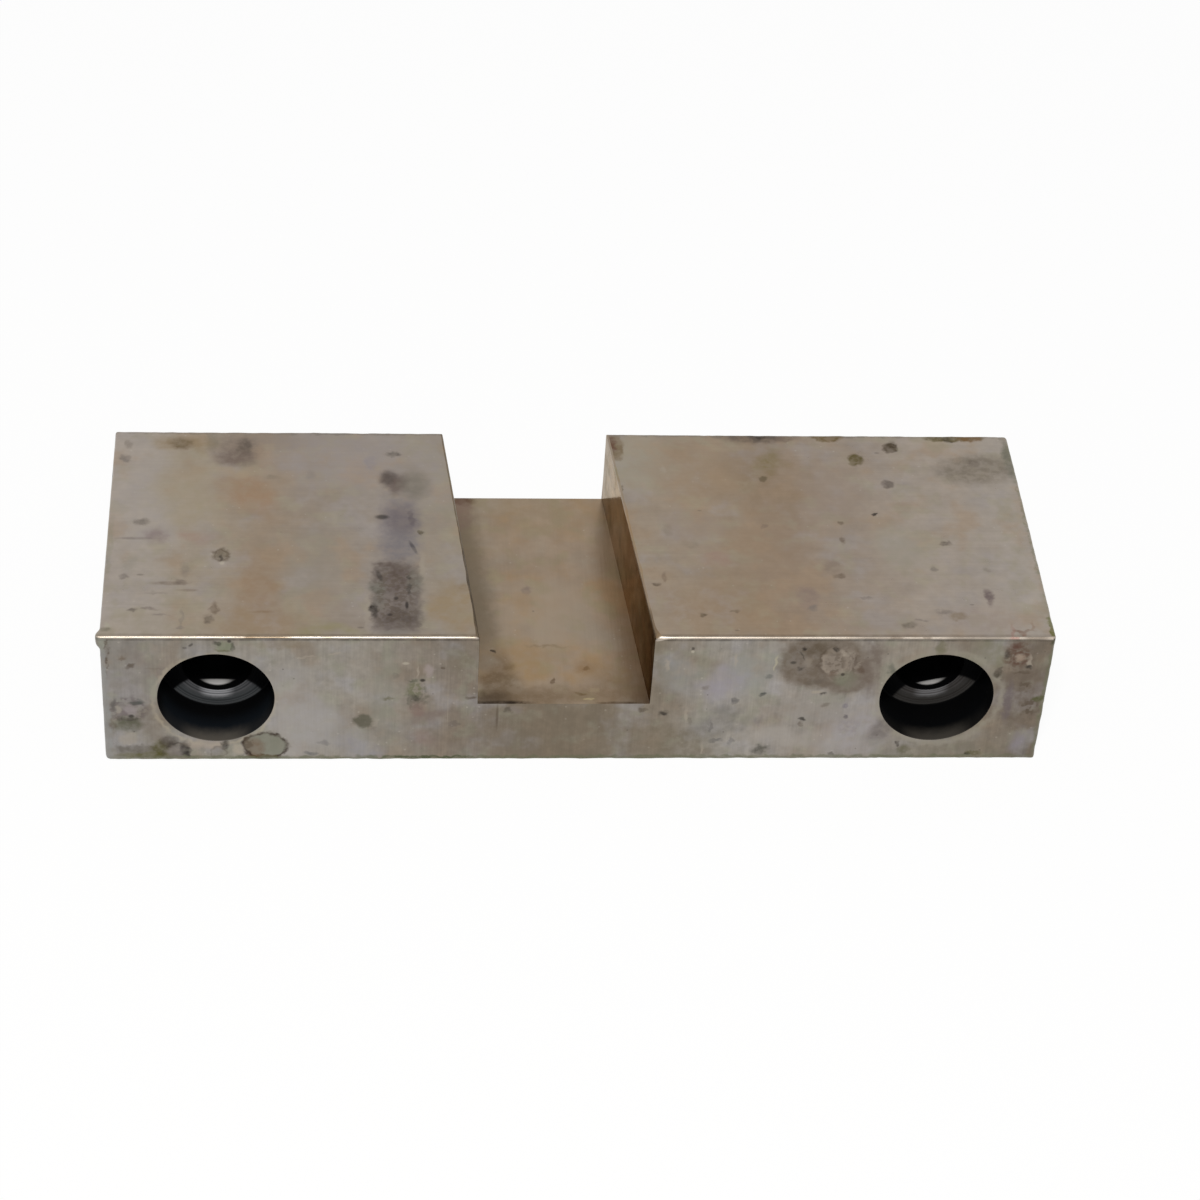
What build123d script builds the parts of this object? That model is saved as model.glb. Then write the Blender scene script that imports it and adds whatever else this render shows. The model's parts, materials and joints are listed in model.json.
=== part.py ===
"""Mounting block: a ground steel bar with a skewed cross slot and two counterbored bolt holes.

The origin is at the middle of the underside. +X runs along the bar, +Y runs from the counterbored
front face to the back, and +Z points up through the slotted top. All sizes are in millimetres.
"""

import os
from math import cos, radians, tan

from build123d import *

# Bar
block_length = 144.0
block_depth = 50.0
block_height = 25.0
upright_corner_radius = 0.6
outline_break = 0.35  # chamfer round the underside and round both lands

# Cross slot, milled through the top from front to back
slot_width = 26.4
slot_depth = 13.4
slot_offset = -4.5  # middle of the slot from the middle of the bar
slot_skew = 5.0  # degrees in plan, which takes the back end of the slot towards -X
slot_root_radius = 0.4  # where the walls meet the floor

# Bolt holes, bored from the front face to the back
hole_inset = 17.0  # from each end of the bar to the hole's axis
hole_rise = 0.3  # hole axes above the middle of the bar's height
hole_diameter = 11.0
counterbore_diameter = 17.5
counterbore_depth = 8.0
counterbore_rim_break = 0.25
hole_exit_break = 0.5

# Places that follow from the sizes above
hole_spacing = block_length - 2 * hole_inset
hole_height = block_height / 2 + hole_rise
slot_run = block_depth / cos(radians(slot_skew)) + 2 * slot_width * tan(radians(slot_skew))

with BuildPart() as mounting_block:
    # The bar, cut from rectangular stock
    with BuildSketch() as bar_plan:
        Rectangle(block_length, block_depth)
    extrude(amount=block_height)
    fillet(mounting_block.edges().filter_by(Axis.Z), upright_corner_radius)

    # The cross slot, which leaves a land on each side
    with BuildSketch(Plane.XY.offset(block_height)) as slot_plan:
        with Locations((slot_offset, 0)):
            Rectangle(slot_width, slot_run, rotation=slot_skew)
    extrude(amount=-slot_depth, mode=Mode.SUBTRACT)
    underside, slot_floor, *lands = mounting_block.faces().filter_by(Axis.Z).sort_by(Axis.Z)

    # The cutter's small corner radius at the foot of each wall
    fillet(slot_floor.edges().filter_by(Axis.X, reverse=True), slot_root_radius)

    # Hand-broken edges round the underside and the lands
    underside, slot_floor, *lands = mounting_block.faces().filter_by(Axis.Z).sort_by(Axis.Z)
    chamfer([edge for face in (underside, *lands) for edge in face.edges()], outline_break)

    # The bolt holes, one near each end
    front_face = Plane(origin=(0, -block_depth / 2, hole_height), x_dir=(1, 0, 0), z_dir=(0, -1, 0))
    with Locations(front_face):
        with GridLocations(hole_spacing, 1, 2, 1):
            CounterBoreHole(hole_diameter / 2, counterbore_diameter / 2, counterbore_depth)
    hole_rings = mounting_block.edges().filter_by(GeomType.CIRCLE).group_by(Axis.Y)
    chamfer(hole_rings[0], counterbore_rim_break)
    chamfer(hole_rings[-1], hole_exit_break)

mounting_block.part.label = "mounting_block"

os.makedirs("parts", exist_ok=True)
export_step(mounting_block.part, "parts/mounting_block.step")
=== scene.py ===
"""Mounting block: a worn bar of ground steel with a skewed cross slot and two counterbored bolt holes.

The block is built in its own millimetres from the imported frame: X along the bar, Y from the counterbored
front face to the back, Z up through the slotted top, with the origin under the middle of the underside.
"""
import json
import logging
import math
from collections.abc import Iterator
from contextlib import contextmanager
from dataclasses import dataclass
from enum import Enum

import bmesh
import bpy
import numpy as np
from mathutils import Matrix, Vector, noise


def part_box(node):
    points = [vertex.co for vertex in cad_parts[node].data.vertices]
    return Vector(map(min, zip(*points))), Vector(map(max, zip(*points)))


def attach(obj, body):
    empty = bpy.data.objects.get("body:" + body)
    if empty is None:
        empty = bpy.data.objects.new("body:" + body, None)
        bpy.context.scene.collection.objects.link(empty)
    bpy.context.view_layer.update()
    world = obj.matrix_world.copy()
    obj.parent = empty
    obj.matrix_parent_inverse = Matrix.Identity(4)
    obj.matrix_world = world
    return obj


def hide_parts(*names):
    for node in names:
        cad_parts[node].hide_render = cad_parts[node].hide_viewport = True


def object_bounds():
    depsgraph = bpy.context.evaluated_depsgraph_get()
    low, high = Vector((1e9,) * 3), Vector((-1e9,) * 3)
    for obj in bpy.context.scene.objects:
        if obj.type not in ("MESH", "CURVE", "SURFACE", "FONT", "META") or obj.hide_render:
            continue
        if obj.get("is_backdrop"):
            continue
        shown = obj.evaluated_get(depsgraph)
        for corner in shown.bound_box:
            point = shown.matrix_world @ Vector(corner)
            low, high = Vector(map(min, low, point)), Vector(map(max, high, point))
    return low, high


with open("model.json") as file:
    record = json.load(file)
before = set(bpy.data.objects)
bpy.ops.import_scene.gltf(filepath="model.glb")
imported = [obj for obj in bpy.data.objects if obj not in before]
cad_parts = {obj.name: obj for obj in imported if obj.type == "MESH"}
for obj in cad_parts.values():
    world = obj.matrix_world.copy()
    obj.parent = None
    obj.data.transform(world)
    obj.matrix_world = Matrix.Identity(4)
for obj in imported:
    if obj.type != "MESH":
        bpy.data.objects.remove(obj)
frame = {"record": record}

CAD_NODE = "mounting_block"
BODY = "root"
METRES = 0.001
EVEN = 0.5
"""The middle level of a noise."""
ORIGIN = (0.0, 0.0, 0.0)

Tone = tuple[float, float, float]
"""A colour as linear light."""
Screen = tuple[int, int, int]
"""A colour as a screen shows it, from 0 to 255."""
Point = tuple[float, float, float]
Fade = tuple[float, ...]
"""Where a smooth step starts and ends, and then what it gives there if that isn't 0 and 1."""

log = logging.getLogger("mounting_block")


def placed(name: str, data: bpy.types.ID) -> bpy.types.Object:
    """A new object of that name, put in the scene."""
    made = bpy.data.objects.new(name, data)
    bpy.context.scene.collection.objects.link(made)
    return made


@contextmanager
def opened(mesh: bpy.types.Mesh) -> Iterator[bmesh.types.BMesh]:
    """A mesh opened for editing, and written back afterwards."""
    bm = bmesh.new()
    bm.from_mesh(mesh)
    yield bm
    bm.to_mesh(mesh)
    bm.free()


# --- Colours ---


def shade(red: int, green: int, blue: int) -> Tone:
    """A colour written as a screen shows it, from 0 to 255, as the light that a shader works with.

    Args:
        red: Red, 0 to 255.
        green: Green, 0 to 255.
        blue: Blue, 0 to 255.

    Returns:
        The linear colour.
    """

    def linear(level: int) -> float:
        """One channel, 0 to 255, as linear light."""
        part = level / 255.0
        return part / 12.92 if part <= 0.04045 else ((part + 0.055) / 1.055) ** 2.4

    return linear(red), linear(green), linear(blue)


# --- Node wiring ---

Feed = bpy.types.NodeSocket | float | tuple


class Wiring:
    """Adds nodes to one tree and joins them, so that a finish reads as a list of steps."""

    def __init__(self, tree: bpy.types.NodeTree) -> None:
        """Works on that tree."""
        self.tree = tree

    def add(self, kind: str, **settings: object) -> bpy.types.Node:
        """A new node of that kind with its settings.

        Args:
            kind: Blender's name of the node type.
            settings: Values of the node's own properties.

        Returns:
            The node.
        """
        node = self.tree.nodes.new(kind)
        for name, value in settings.items():
            setattr(node, name, value)
        return node

    def feed(self, socket: bpy.types.NodeSocket, value: Feed) -> None:
        """Joins an output to the socket, or sets the socket to a plain value.

        Args:
            socket: The input to fill.
            value: An output socket, a number or a tuple of numbers.
        """
        if isinstance(value, bpy.types.NodeSocket):
            self.tree.links.new(value, socket)
        elif isinstance(value, tuple) and len(value) == 3 and socket.type == "RGBA":
            socket.default_value = (*value, 1.0)
        else:
            socket.default_value = value

    def math(self, operation: str, *values: Feed, clamp: bool = False) -> bpy.types.NodeSocket:
        """The result of a Math node.

        Args:
            operation: The node's operation.
            values: Its inputs in order.
            clamp: Whether the result is held between 0 and 1.

        Returns:
            The output socket.
        """
        node = self.add("ShaderNodeMath", operation=operation, use_clamp=clamp)
        for socket, value in zip(node.inputs, values):
            self.feed(socket, value)
        return node.outputs[0]

    def plus(self, one: Feed, other: Feed, clamp: bool = False) -> bpy.types.NodeSocket:
        """The sum of two numbers."""
        return self.math("ADD", one, other, clamp=clamp)

    def minus(self, one: Feed, other: Feed, clamp: bool = False) -> bpy.types.NodeSocket:
        """One number less another."""
        return self.math("SUBTRACT", one, other, clamp=clamp)

    def times(self, one: Feed, other: Feed) -> bpy.types.NodeSocket:
        """The product of two numbers."""
        return self.math("MULTIPLY", one, other)

    def swing(self, noise_level: Feed, share: float) -> bpy.types.NodeSocket:
        """How far a noise is from its middle level, times a share."""
        return self.times(self.minus(noise_level, EVEN), share)

    def vector(self, operation: str, *values: Feed) -> bpy.types.NodeSocket:
        """The result of a Vector Math node.

        Args:
            operation: The node's operation.
            values: Its inputs in order.

        Returns:
            The vector output, or the number for operations that give one.
        """
        node = self.add("ShaderNodeVectorMath", operation=operation)
        for socket, value in zip(node.inputs, values):
            self.feed(socket, value)
        return node.outputs["Value" if operation in ("LENGTH", "DOT_PRODUCT", "DISTANCE") else "Vector"]

    def blend(self, share: Feed, under: Feed, over: Feed) -> bpy.types.NodeSocket:
        """One colour laid over another by a share."""
        node = self.add("ShaderNodeMix", data_type="RGBA")
        self.feed(node.inputs[0], share)
        self.feed(node.inputs[6], under)
        self.feed(node.inputs[7], over)
        return node.outputs[2]

    def between(self, share: Feed, low: Feed, high: Feed) -> bpy.types.NodeSocket:
        """A number between two others by a share."""
        node = self.add("ShaderNodeMix", data_type="FLOAT")
        self.feed(node.inputs[0], share)
        self.feed(node.inputs[2], low)
        self.feed(node.inputs[3], high)
        return node.outputs[0]

    def fade(
        self, value: Feed, start: Feed, end: Feed, low: Feed = 0.0, high: Feed = 1.0
    ) -> bpy.types.NodeSocket:
        """A smooth step from low at start to high at end.

        Args:
            value: The number to map.
            start: Where the step starts.
            end: Where it ends.
            low: The result at the start.
            high: The result at the end.

        Returns:
            The mapped number.
        """
        node = self.add("ShaderNodeMapRange", interpolation_type="SMOOTHSTEP")
        for socket, number in zip(node.inputs[:5], (value, start, end, low, high)):
            self.feed(socket, number)
        return node.outputs[0]

    def cloud(
        self, place: Feed, size: float, detail: float = 2.0, rough: float = 0.5
    ) -> bpy.types.NodeSocket:
        """Soft noise from 0 to 1.

        Args:
            place: The position in millimetres.
            size: The size of a cloud in millimetres.
            detail: How many finer layers it has.
            rough: How strong the finer layers are.

        Returns:
            The noise value.
        """
        node = self.add("ShaderNodeTexNoise")
        self.feed(node.inputs["Vector"], place)
        node.inputs["Scale"].default_value = 1.0 / size
        node.inputs["Detail"].default_value = detail
        node.inputs["Roughness"].default_value = rough
        return node.outputs["Fac"]

    def ramp(self, value: Feed, stops: list[tuple[float, Tone]]) -> bpy.types.NodeSocket:
        """A colour that changes smoothly along a value.

        Args:
            value: The number from 0 to 1.
            stops: Positions from 0 to 1, each with its colour.

        Returns:
            The colour.
        """
        node = self.add("ShaderNodeValToRGB")
        node.color_ramp.interpolation = "EASE"
        while len(node.color_ramp.elements) < len(stops):
            node.color_ramp.elements.new(1.0)
        for element, (position, tone) in zip(node.color_ramp.elements, stops):
            element.position = position
            element.color = (*tone, 1.0)
        self.feed(node.inputs[0], value)
        return node.outputs["Color"]

    def parts(self, vector: Feed) -> bpy.types.NodeOutputs:
        """The X, Y and Z of a vector."""
        node = self.add("ShaderNodeSeparateXYZ")
        self.feed(node.inputs[0], vector)
        return node.outputs

    def joined(self, x: Feed, y: Feed = 0.0, z: Feed = 0.0) -> bpy.types.NodeSocket:
        """A vector from its X, Y and Z."""
        node = self.add("ShaderNodeCombineXYZ")
        for socket, value in zip(node.inputs, (x, y, z)):
            self.feed(socket, value)
        return node.outputs[0]

    def scaled(self, colour: Feed, share: Feed) -> bpy.types.NodeSocket:
        """A colour made brighter or darker by a share."""
        node = self.add("ShaderNodeHueSaturation")
        self.feed(node.inputs["Value"], share)
        self.feed(node.inputs["Color"], colour)
        return node.outputs[0]

    def place(self) -> bpy.types.NodeSocket:
        """The position on the block in its own millimetres."""
        own = self.add("ShaderNodeTexCoord").outputs["Object"]
        return self.vector("MULTIPLY", own, (1.0 / METRES, 1.0 / METRES, 1.0 / METRES))

    def group(self, tree: bpy.types.NodeTree, **feeds: Feed) -> bpy.types.NodeOutputs:
        """Places an effect with its own values.

        Args:
            tree: The effect's node group.
            feeds: Its inputs by name.

        Returns:
            The group's outputs.
        """
        node = self.add("ShaderNodeGroup", node_tree=tree)
        for name, value in feeds.items():
            self.feed(node.inputs[name], value)
        return node.outputs

    def finish(self, shader: bpy.types.Node) -> None:
        """Joins a finished shader to the tree's output."""
        self.feed(self.add("ShaderNodeOutputMaterial").inputs["Surface"], shader.outputs[0])


def emptied(owner: bpy.types.Material | bpy.types.World) -> Wiring:
    """The wiring of a new material or world, with nothing in it yet."""
    owner.use_nodes = True
    owner.node_tree.nodes.clear()
    return Wiring(owner.node_tree)


# --- Effects that several finishes share ---


NUMBER = "NodeSocketFloat"
VECTOR = "NodeSocketVector"


class Effect:
    """The shader node groups, each built once and placed in every finish that uses it."""

    def __init__(self) -> None:
        """Builds the groups."""
        self.warp = self._warp()
        self.stain = self._stain()
        self.specks = self._specks()
        self.grain = self._grain()
        self.patina = self._patina()

    @staticmethod
    def _tree(name: str, feeds: dict[str, float | Point], results: dict[str, str]) -> Wiring:
        """A new group with its sockets.

        Args:
            name: The group's name.
            feeds: Each input with its usual value, which also says whether it is a number or a vector.
            results: Each output with its kind.

        Returns:
            The wiring of the group's tree.
        """
        tree = bpy.data.node_groups.new(name, "ShaderNodeTree")
        for label, value in feeds.items():
            kind = VECTOR if isinstance(value, tuple) else NUMBER
            tree.interface.new_socket(name=label, in_out="INPUT", socket_type=kind).default_value = value
        for label, kind in results.items():
            tree.interface.new_socket(name=label, in_out="OUTPUT", socket_type=kind)
        return Wiring(tree)

    def _warp(self) -> bpy.types.NodeTree:
        """Pushes positions about, so that drawn shapes get uneven outlines."""
        w = self._tree(
            "uneven_outline", {"Place": ORIGIN, "Size": 2.0, "Push": 0.5}, {"Place": VECTOR}
        )
        inside, outside = w.add("NodeGroupInput"), w.add("NodeGroupOutput")
        cloud = w.add("ShaderNodeTexNoise")
        w.feed(cloud.inputs["Vector"], inside.outputs["Place"])
        w.feed(cloud.inputs["Scale"], w.math("DIVIDE", 1.0, inside.outputs["Size"]))
        cloud.inputs["Detail"].default_value = 2.0
        pushes = w.add("ShaderNodeSeparateColor")
        w.feed(pushes.inputs[0], cloud.outputs["Color"])
        away = w.vector("SUBTRACT", w.joined(*pushes.outputs[:3]), (EVEN, EVEN, EVEN))
        scale = w.add("ShaderNodeVectorMath", operation="SCALE")
        w.feed(scale.inputs[0], away)
        widest_swing = 4.0
        w.feed(scale.inputs["Scale"], w.times(inside.outputs["Push"], widest_swing))
        w.feed(outside.inputs["Place"], w.vector("ADD", inside.outputs["Place"], scale.outputs[0]))
        return w.tree

    def _stain(self) -> bpy.types.NodeTree:
        """One stain: an ellipsoid or a rounded patch, filled or as a rim, broken up by a texture."""
        w = self._tree(
            "stain",
            {
                "Place": ORIGIN,
                "Middle": ORIGIN,
                "Along": (1.0, 0.0, 0.0),
                "Across": (0.0, 1.0, 0.0),
                "Inward": (0.0, 0.0, 1.0),
                "Soft": 0.4,
                "Square": 0.0,
                "Rim": 0.0,
                "Fill": 1.0,
                "Texture": 0.5,
                "Break": 0.4,
            },
            {"Mask": NUMBER},
        )
        inside, outside = w.add("NodeGroupInput"), w.add("NodeGroupOutput")
        socket = inside.outputs
        away = w.vector("SUBTRACT", socket["Place"], socket["Middle"])
        ways = [socket[way] for way in ("Along", "Across", "Inward")]
        legs = [w.math("ABSOLUTE", w.vector("DOT_PRODUCT", away, way)) for way in ways]
        widest = w.math("MAXIMUM", w.math("MAXIMUM", legs[0], legs[1]), legs[2])
        far = w.between(socket["Square"], w.vector("LENGTH", w.joined(*legs)), widest)
        filled = w.fade(far, w.plus(1.0, socket["Soft"]), w.minus(1.0, socket["Soft"]))
        rim_width = 1.2
        rim = w.fade(w.math("ABSOLUTE", w.minus(far, 1.0)), w.times(socket["Soft"], rim_width), 0.0)
        mask = w.math("MAXIMUM", w.times(filled, socket["Fill"]), w.times(rim, socket["Rim"]), clamp=True)
        broken = w.minus(1.0, w.times(socket["Texture"], socket["Break"]), clamp=True)
        w.feed(outside.inputs["Mask"], w.times(mask, broken))
        return w.tree

    def _specks(self) -> bpy.types.NodeTree:
        """Small pits and dots, thinned out by a cloud so that they gather in places."""
        w = self._tree("specks", {"Place": ORIGIN, "Size": 0.8, "Share": 0.1}, {"Mask": NUMBER})
        apart, gathered_size, gathered = 3.0, 9.0, (0.35, 0.7, 0.2, 2.2)
        smallest, spread, soft_core = 0.07, 0.18, 0.35
        inside, outside = w.add("NodeGroupInput"), w.add("NodeGroupOutput")
        cells = w.add("ShaderNodeTexVoronoi", feature="F1")
        w.feed(cells.inputs["Vector"], inside.outputs["Place"])
        w.feed(cells.inputs["Scale"], w.math("DIVIDE", 1.0, w.times(inside.outputs["Size"], apart)))
        pick = w.add("ShaderNodeSeparateColor")
        w.feed(pick.inputs[0], cells.outputs["Color"])
        gather = w.cloud(inside.outputs["Place"], gathered_size)
        share = w.times(inside.outputs["Share"], w.fade(gather, *gathered))
        chosen = w.math("LESS_THAN", pick.outputs[0], share)
        size = w.plus(smallest, w.times(pick.outputs[1], spread))
        dot = w.fade(cells.outputs["Distance"], size, w.times(size, soft_core))
        w.feed(outside.inputs["Mask"], w.times(dot, chosen))
        return w.tree

    def _grain(self) -> bpy.types.NodeTree:
        """Fine lines left by the grinding wheel, at two widths."""
        w = self._tree(
            "grinding_lines",
            {"Place": ORIGIN, "Squeeze": (0.06, 3.0, 3.0)},
            {"Fine": NUMBER, "Broad": NUMBER},
        )
        inside, outside = w.add("NodeGroupInput"), w.add("NodeGroupOutput")
        drawn = w.vector("MULTIPLY", inside.outputs["Place"], inside.outputs["Squeeze"])
        w.feed(outside.inputs["Fine"], w.cloud(drawn, 1.0, 3.0, 0.6))
        w.feed(outside.inputs["Broad"], w.cloud(drawn, 4.0, 2.0, 0.5))
        return w.tree

    def _patina(self) -> bpy.types.NodeTree:
        """Clouds of tarnish, from broad ones to fine grains, and two that shift its colour."""
        clouds = {
            "Broad": (ORIGIN, 11.0, 2.0, 0.5),
            "Middle": ((7.0, 3.0, 11.0), 4.4, 2.0, 0.55),
            "Small": (ORIGIN, 1.5, 3.0, 0.6),
            "Grains": ((3.0, 9.0, 1.0), 0.75, 1.0, 0.5),
            "Tint": ((31.0, 17.0, 5.0), 7.0, 3.0, 0.55),
            "Hue": ((-9.0, 41.0, 13.0), 4.0, 2.0, 0.5),
        }
        w = self._tree("tarnish", {"Place": ORIGIN}, dict.fromkeys(clouds, NUMBER))
        inside, outside = w.add("NodeGroupInput"), w.add("NodeGroupOutput")
        for name, (shift, size, detail, rough) in clouds.items():
            place = inside.outputs["Place"]
            if shift != ORIGIN:
                place = w.vector("ADD", place, shift)
            w.feed(outside.inputs[name], w.cloud(place, size, detail, rough))
        return w.tree


# --- Stains and painted light ---


class Break(Enum):
    """What breaks a stain up, and the two levels of that texture between which it fades in."""

    CLOUD = (0.35, 0.65)
    GRAINS = (0.42, 0.58)
    LINES = (0.4, 0.6)


class Outline(Enum):
    """How uneven a stain's outline is: the size of its bulges and how far they push, in millimetres."""

    DRAWN = (0.0, 0.0)
    CRISP = (1.3, 0.4)
    LOOSE = (6.0, 2.2)


@dataclass(frozen=True)
class StainAndPaintedLight:
    """One mark on the steel, in the block's millimetres: mostly a stain, in a few places painted shade,
    reflection or highlight. The turn is in degrees.
    """

    middle: Point
    reach: Point
    tone: Screen
    strength: float = 0.6
    soft: float = 0.45
    rim: float = 0.0
    fill: float = 1.0
    square: float = 0.0
    turn: float = 0.0
    break_up: float = 0.4
    breaks: Break = Break.CLOUD
    outline: Outline = Outline.CRISP
    upright: bool = False

    def axes(self) -> tuple[Point, Point, Point]:
        """The stain's own three directions, each divided by its reach that way."""
        cos, sin = math.cos(math.radians(self.turn)), math.sin(math.radians(self.turn))
        wide, deep, high = self.reach
        if self.upright:
            return (cos / wide, 0.0, sin / wide), (0.0, 1.0 / deep, 0.0), (-sin / high, 0.0, cos / high)
        return (cos / wide, -sin / wide, 0.0), (sin / deep, cos / deep, 0.0), (0.0, 0.0, 1.0 / high)

    def mask(self, w: Wiring, effect: Effect, place: Feed, texture: Feed) -> bpy.types.NodeSocket:
        """Where the stain lies.

        Args:
            w: The wiring of the finish that wears it.
            effect: The shared node groups.
            place: The position in millimetres.
            texture: What breaks the stain up.

        Returns:
            The mask, from 0 to 1.
        """
        along, across, inward = self.axes()
        return w.group(
            effect.stain,
            Place=place,
            Middle=self.middle,
            Along=along,
            Across=across,
            Inward=inward,
            Soft=self.soft,
            Square=self.square,
            Rim=self.rim,
            Fill=self.fill,
            Texture=texture,
            Break=self.break_up,
        )["Mask"]


@dataclass(frozen=True)
class Side:
    """A side of the block that carries marks, in the block's millimetres.

    Its marks show on whatever lies within `through` of its level, so on the broken edges too.
    """

    level: float
    through: float
    upright: bool = False

    def __call__(
        self, x: float, other: float, wide: float, high: float, tone: Screen, strength: float, **more: object
    ) -> StainAndPaintedLight:
        """A stain on this side.

        Args:
            x: Its middle along the bar.
            other: Its middle from front to back, or above the underside on an upright side.
            wide: Half its width along the bar.
            high: Half its width the other way.
            tone: Its colour.
            strength: How much of the steel it covers.
            more: Any other field of the stain.

        Returns:
            The stain.
        """
        middle, reach = (x, other, self.level), (wide, high, self.through)
        if self.upright:
            middle, reach = (x, self.level, other), (wide, self.through, high)
        return StainAndPaintedLight(middle, reach, tone, strength, upright=self.upright, **more)


on_land = Side(level=25.0, through=2.5)
on_front = Side(level=-25.0, through=2.5, upright=True)
in_slot = Side(level=11.6, through=2.0)


# --- Finishes ---


@dataclass(frozen=True)
class GroundSteel:
    """Ground or milled steel under a thin warm tarnish, stained, with a few marks of painted shade,
    reflection or highlight; on the slot's wall the tarnish ramp is painted reflection.
    """

    name: str
    tarnish: tuple[tuple[float, Screen], ...]
    warm: Screen
    cool: Screen
    green: Screen
    squeeze: Point
    drift: Outline = Outline.LOOSE
    lift: float = 1.0
    lines: float = 0.05
    clouds: tuple[float, float, float, float] = (0.2, 0.3, 0.3, 0.1)
    tint: float = 0.35
    roughness: float = 0.30
    edge_share: float = 0.0
    speck_size: float = 0.5
    speck_share: float = 0.05
    speck_tone: Tone = (0.06, 0.05, 0.04)
    speck_strength: float = 0.5
    speck_squeeze: Point = (1.0, 1.0, 1.0)
    glint_tone: Tone = (0.5, 0.46, 0.4)
    glint_strength: float = 0.25
    glint_shift: Point = (53.0, 29.0, 71.0)
    glint_size: float = 0.34
    glint_share: float = 0.16
    tint_low: float = 0.32
    tint_high: float = 0.68
    dirt_and_painted_light_rough: float = 0.18
    rough_swing: float = 0.12
    bump: float = 0.05
    bump_height: float = 0.0002
    pit_depth: float = 1.5
    stains_and_painted_light: tuple[StainAndPaintedLight, ...] = ()

    def build(self, effect: Effect, half_length: float) -> bpy.types.Material:
        """Makes the material.

        Args:
            effect: The shared node groups.
            half_length: Half the bar's length in millimetres.

        Returns:
            The material.
        """
        material = bpy.data.materials.new(self.name)
        w = emptied(material)
        place = w.place()
        outlines = {Outline.DRAWN: place}
        for outline in (Outline.CRISP, Outline.LOOSE):
            size, push = outline.value
            outlines[outline] = w.group(effect.warp, Place=place, Size=size, Push=push)["Place"]
        lines = w.group(effect.grain, Place=place, Squeeze=self.squeeze)
        clouds = w.group(effect.patina, Place=place)
        drawn = w.vector("MULTIPLY", place, self.speck_squeeze)
        specks = w.group(effect.specks, Place=drawn, Size=self.speck_size, Share=self.speck_share)["Mask"]
        shifted = w.vector("ADD", place, self.glint_shift)
        glints = w.group(effect.specks, Place=shifted, Size=self.glint_size, Share=self.glint_share)["Mask"]

        length = 2.0 * half_length
        along = w.math("DIVIDE", w.plus(w.parts(outlines[self.drift])[0], half_length), length)
        colour = w.ramp(along, [((x + half_length) / length, shade(*tone)) for x, tone in self.tarnish])
        shifts = (
            ("Tint", self.tint_high, self.warm),
            ("Tint", self.tint_low, self.cool),
            ("Hue", self.tint_high, self.green),
        )
        for name, end, tone in shifts:
            colour = w.blend(w.fade(clouds[name], EVEN, end, 0.0, self.tint), colour, shade(*tone))
        level: Feed = 1.0
        for name, share in zip(("Broad", "Middle", "Small", "Grains"), self.clouds):
            level = w.plus(level, w.swing(clouds[name], share))
        for name in ("Fine", "Broad"):
            level = w.plus(level, w.swing(lines[name], self.lines * 2.0))
        colour = w.scaled(colour, level)

        textures = {
            Break.CLOUD: w.fade(clouds["Small"], *Break.CLOUD.value),
            Break.GRAINS: w.fade(clouds["Grains"], *Break.GRAINS.value),
            Break.LINES: w.fade(lines["Fine"], *Break.LINES.value),
        }
        colour = w.blend(w.times(glints, self.glint_strength), colour, self.glint_tone)
        # the strongest mark at each point, a stain or painted light, which also roughens the steel
        dirt_and_painted_light: Feed = 0.0
        for stain in self.stains_and_painted_light:
            mask = stain.mask(w, effect, outlines[stain.outline], textures[stain.breaks])
            share = w.times(mask, stain.strength)
            colour = w.blend(share, colour, shade(*stain.tone))
            dirt_and_painted_light = w.math("MAXIMUM", dirt_and_painted_light, share)
        colour = w.blend(w.times(specks, self.speck_strength), colour, self.speck_tone)

        shader = w.add("ShaderNodeBsdfPrincipled")
        w.feed(shader.inputs["Base Color"], w.scaled(colour, self.lift))
        if self.edge_share:
            w.feed(shader.inputs["Specular Tint"], w.scaled(colour, self.edge_share))
        shader.inputs["Metallic"].default_value = 1.0
        rough = w.plus(self.roughness, w.times(dirt_and_painted_light, self.dirt_and_painted_light_rough))
        rough = w.plus(rough, w.swing(clouds["Small"], self.rough_swing), clamp=True)
        w.feed(shader.inputs["Roughness"], rough)
        bump = w.add("ShaderNodeBump")
        bump.inputs["Strength"].default_value = self.bump
        bump.inputs["Distance"].default_value = self.bump_height
        w.feed(bump.inputs["Height"], w.minus(lines["Fine"], w.times(specks, self.pit_depth)))
        w.feed(shader.inputs["Normal"], bump.outputs[0])
        w.finish(shader)
        return material


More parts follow.
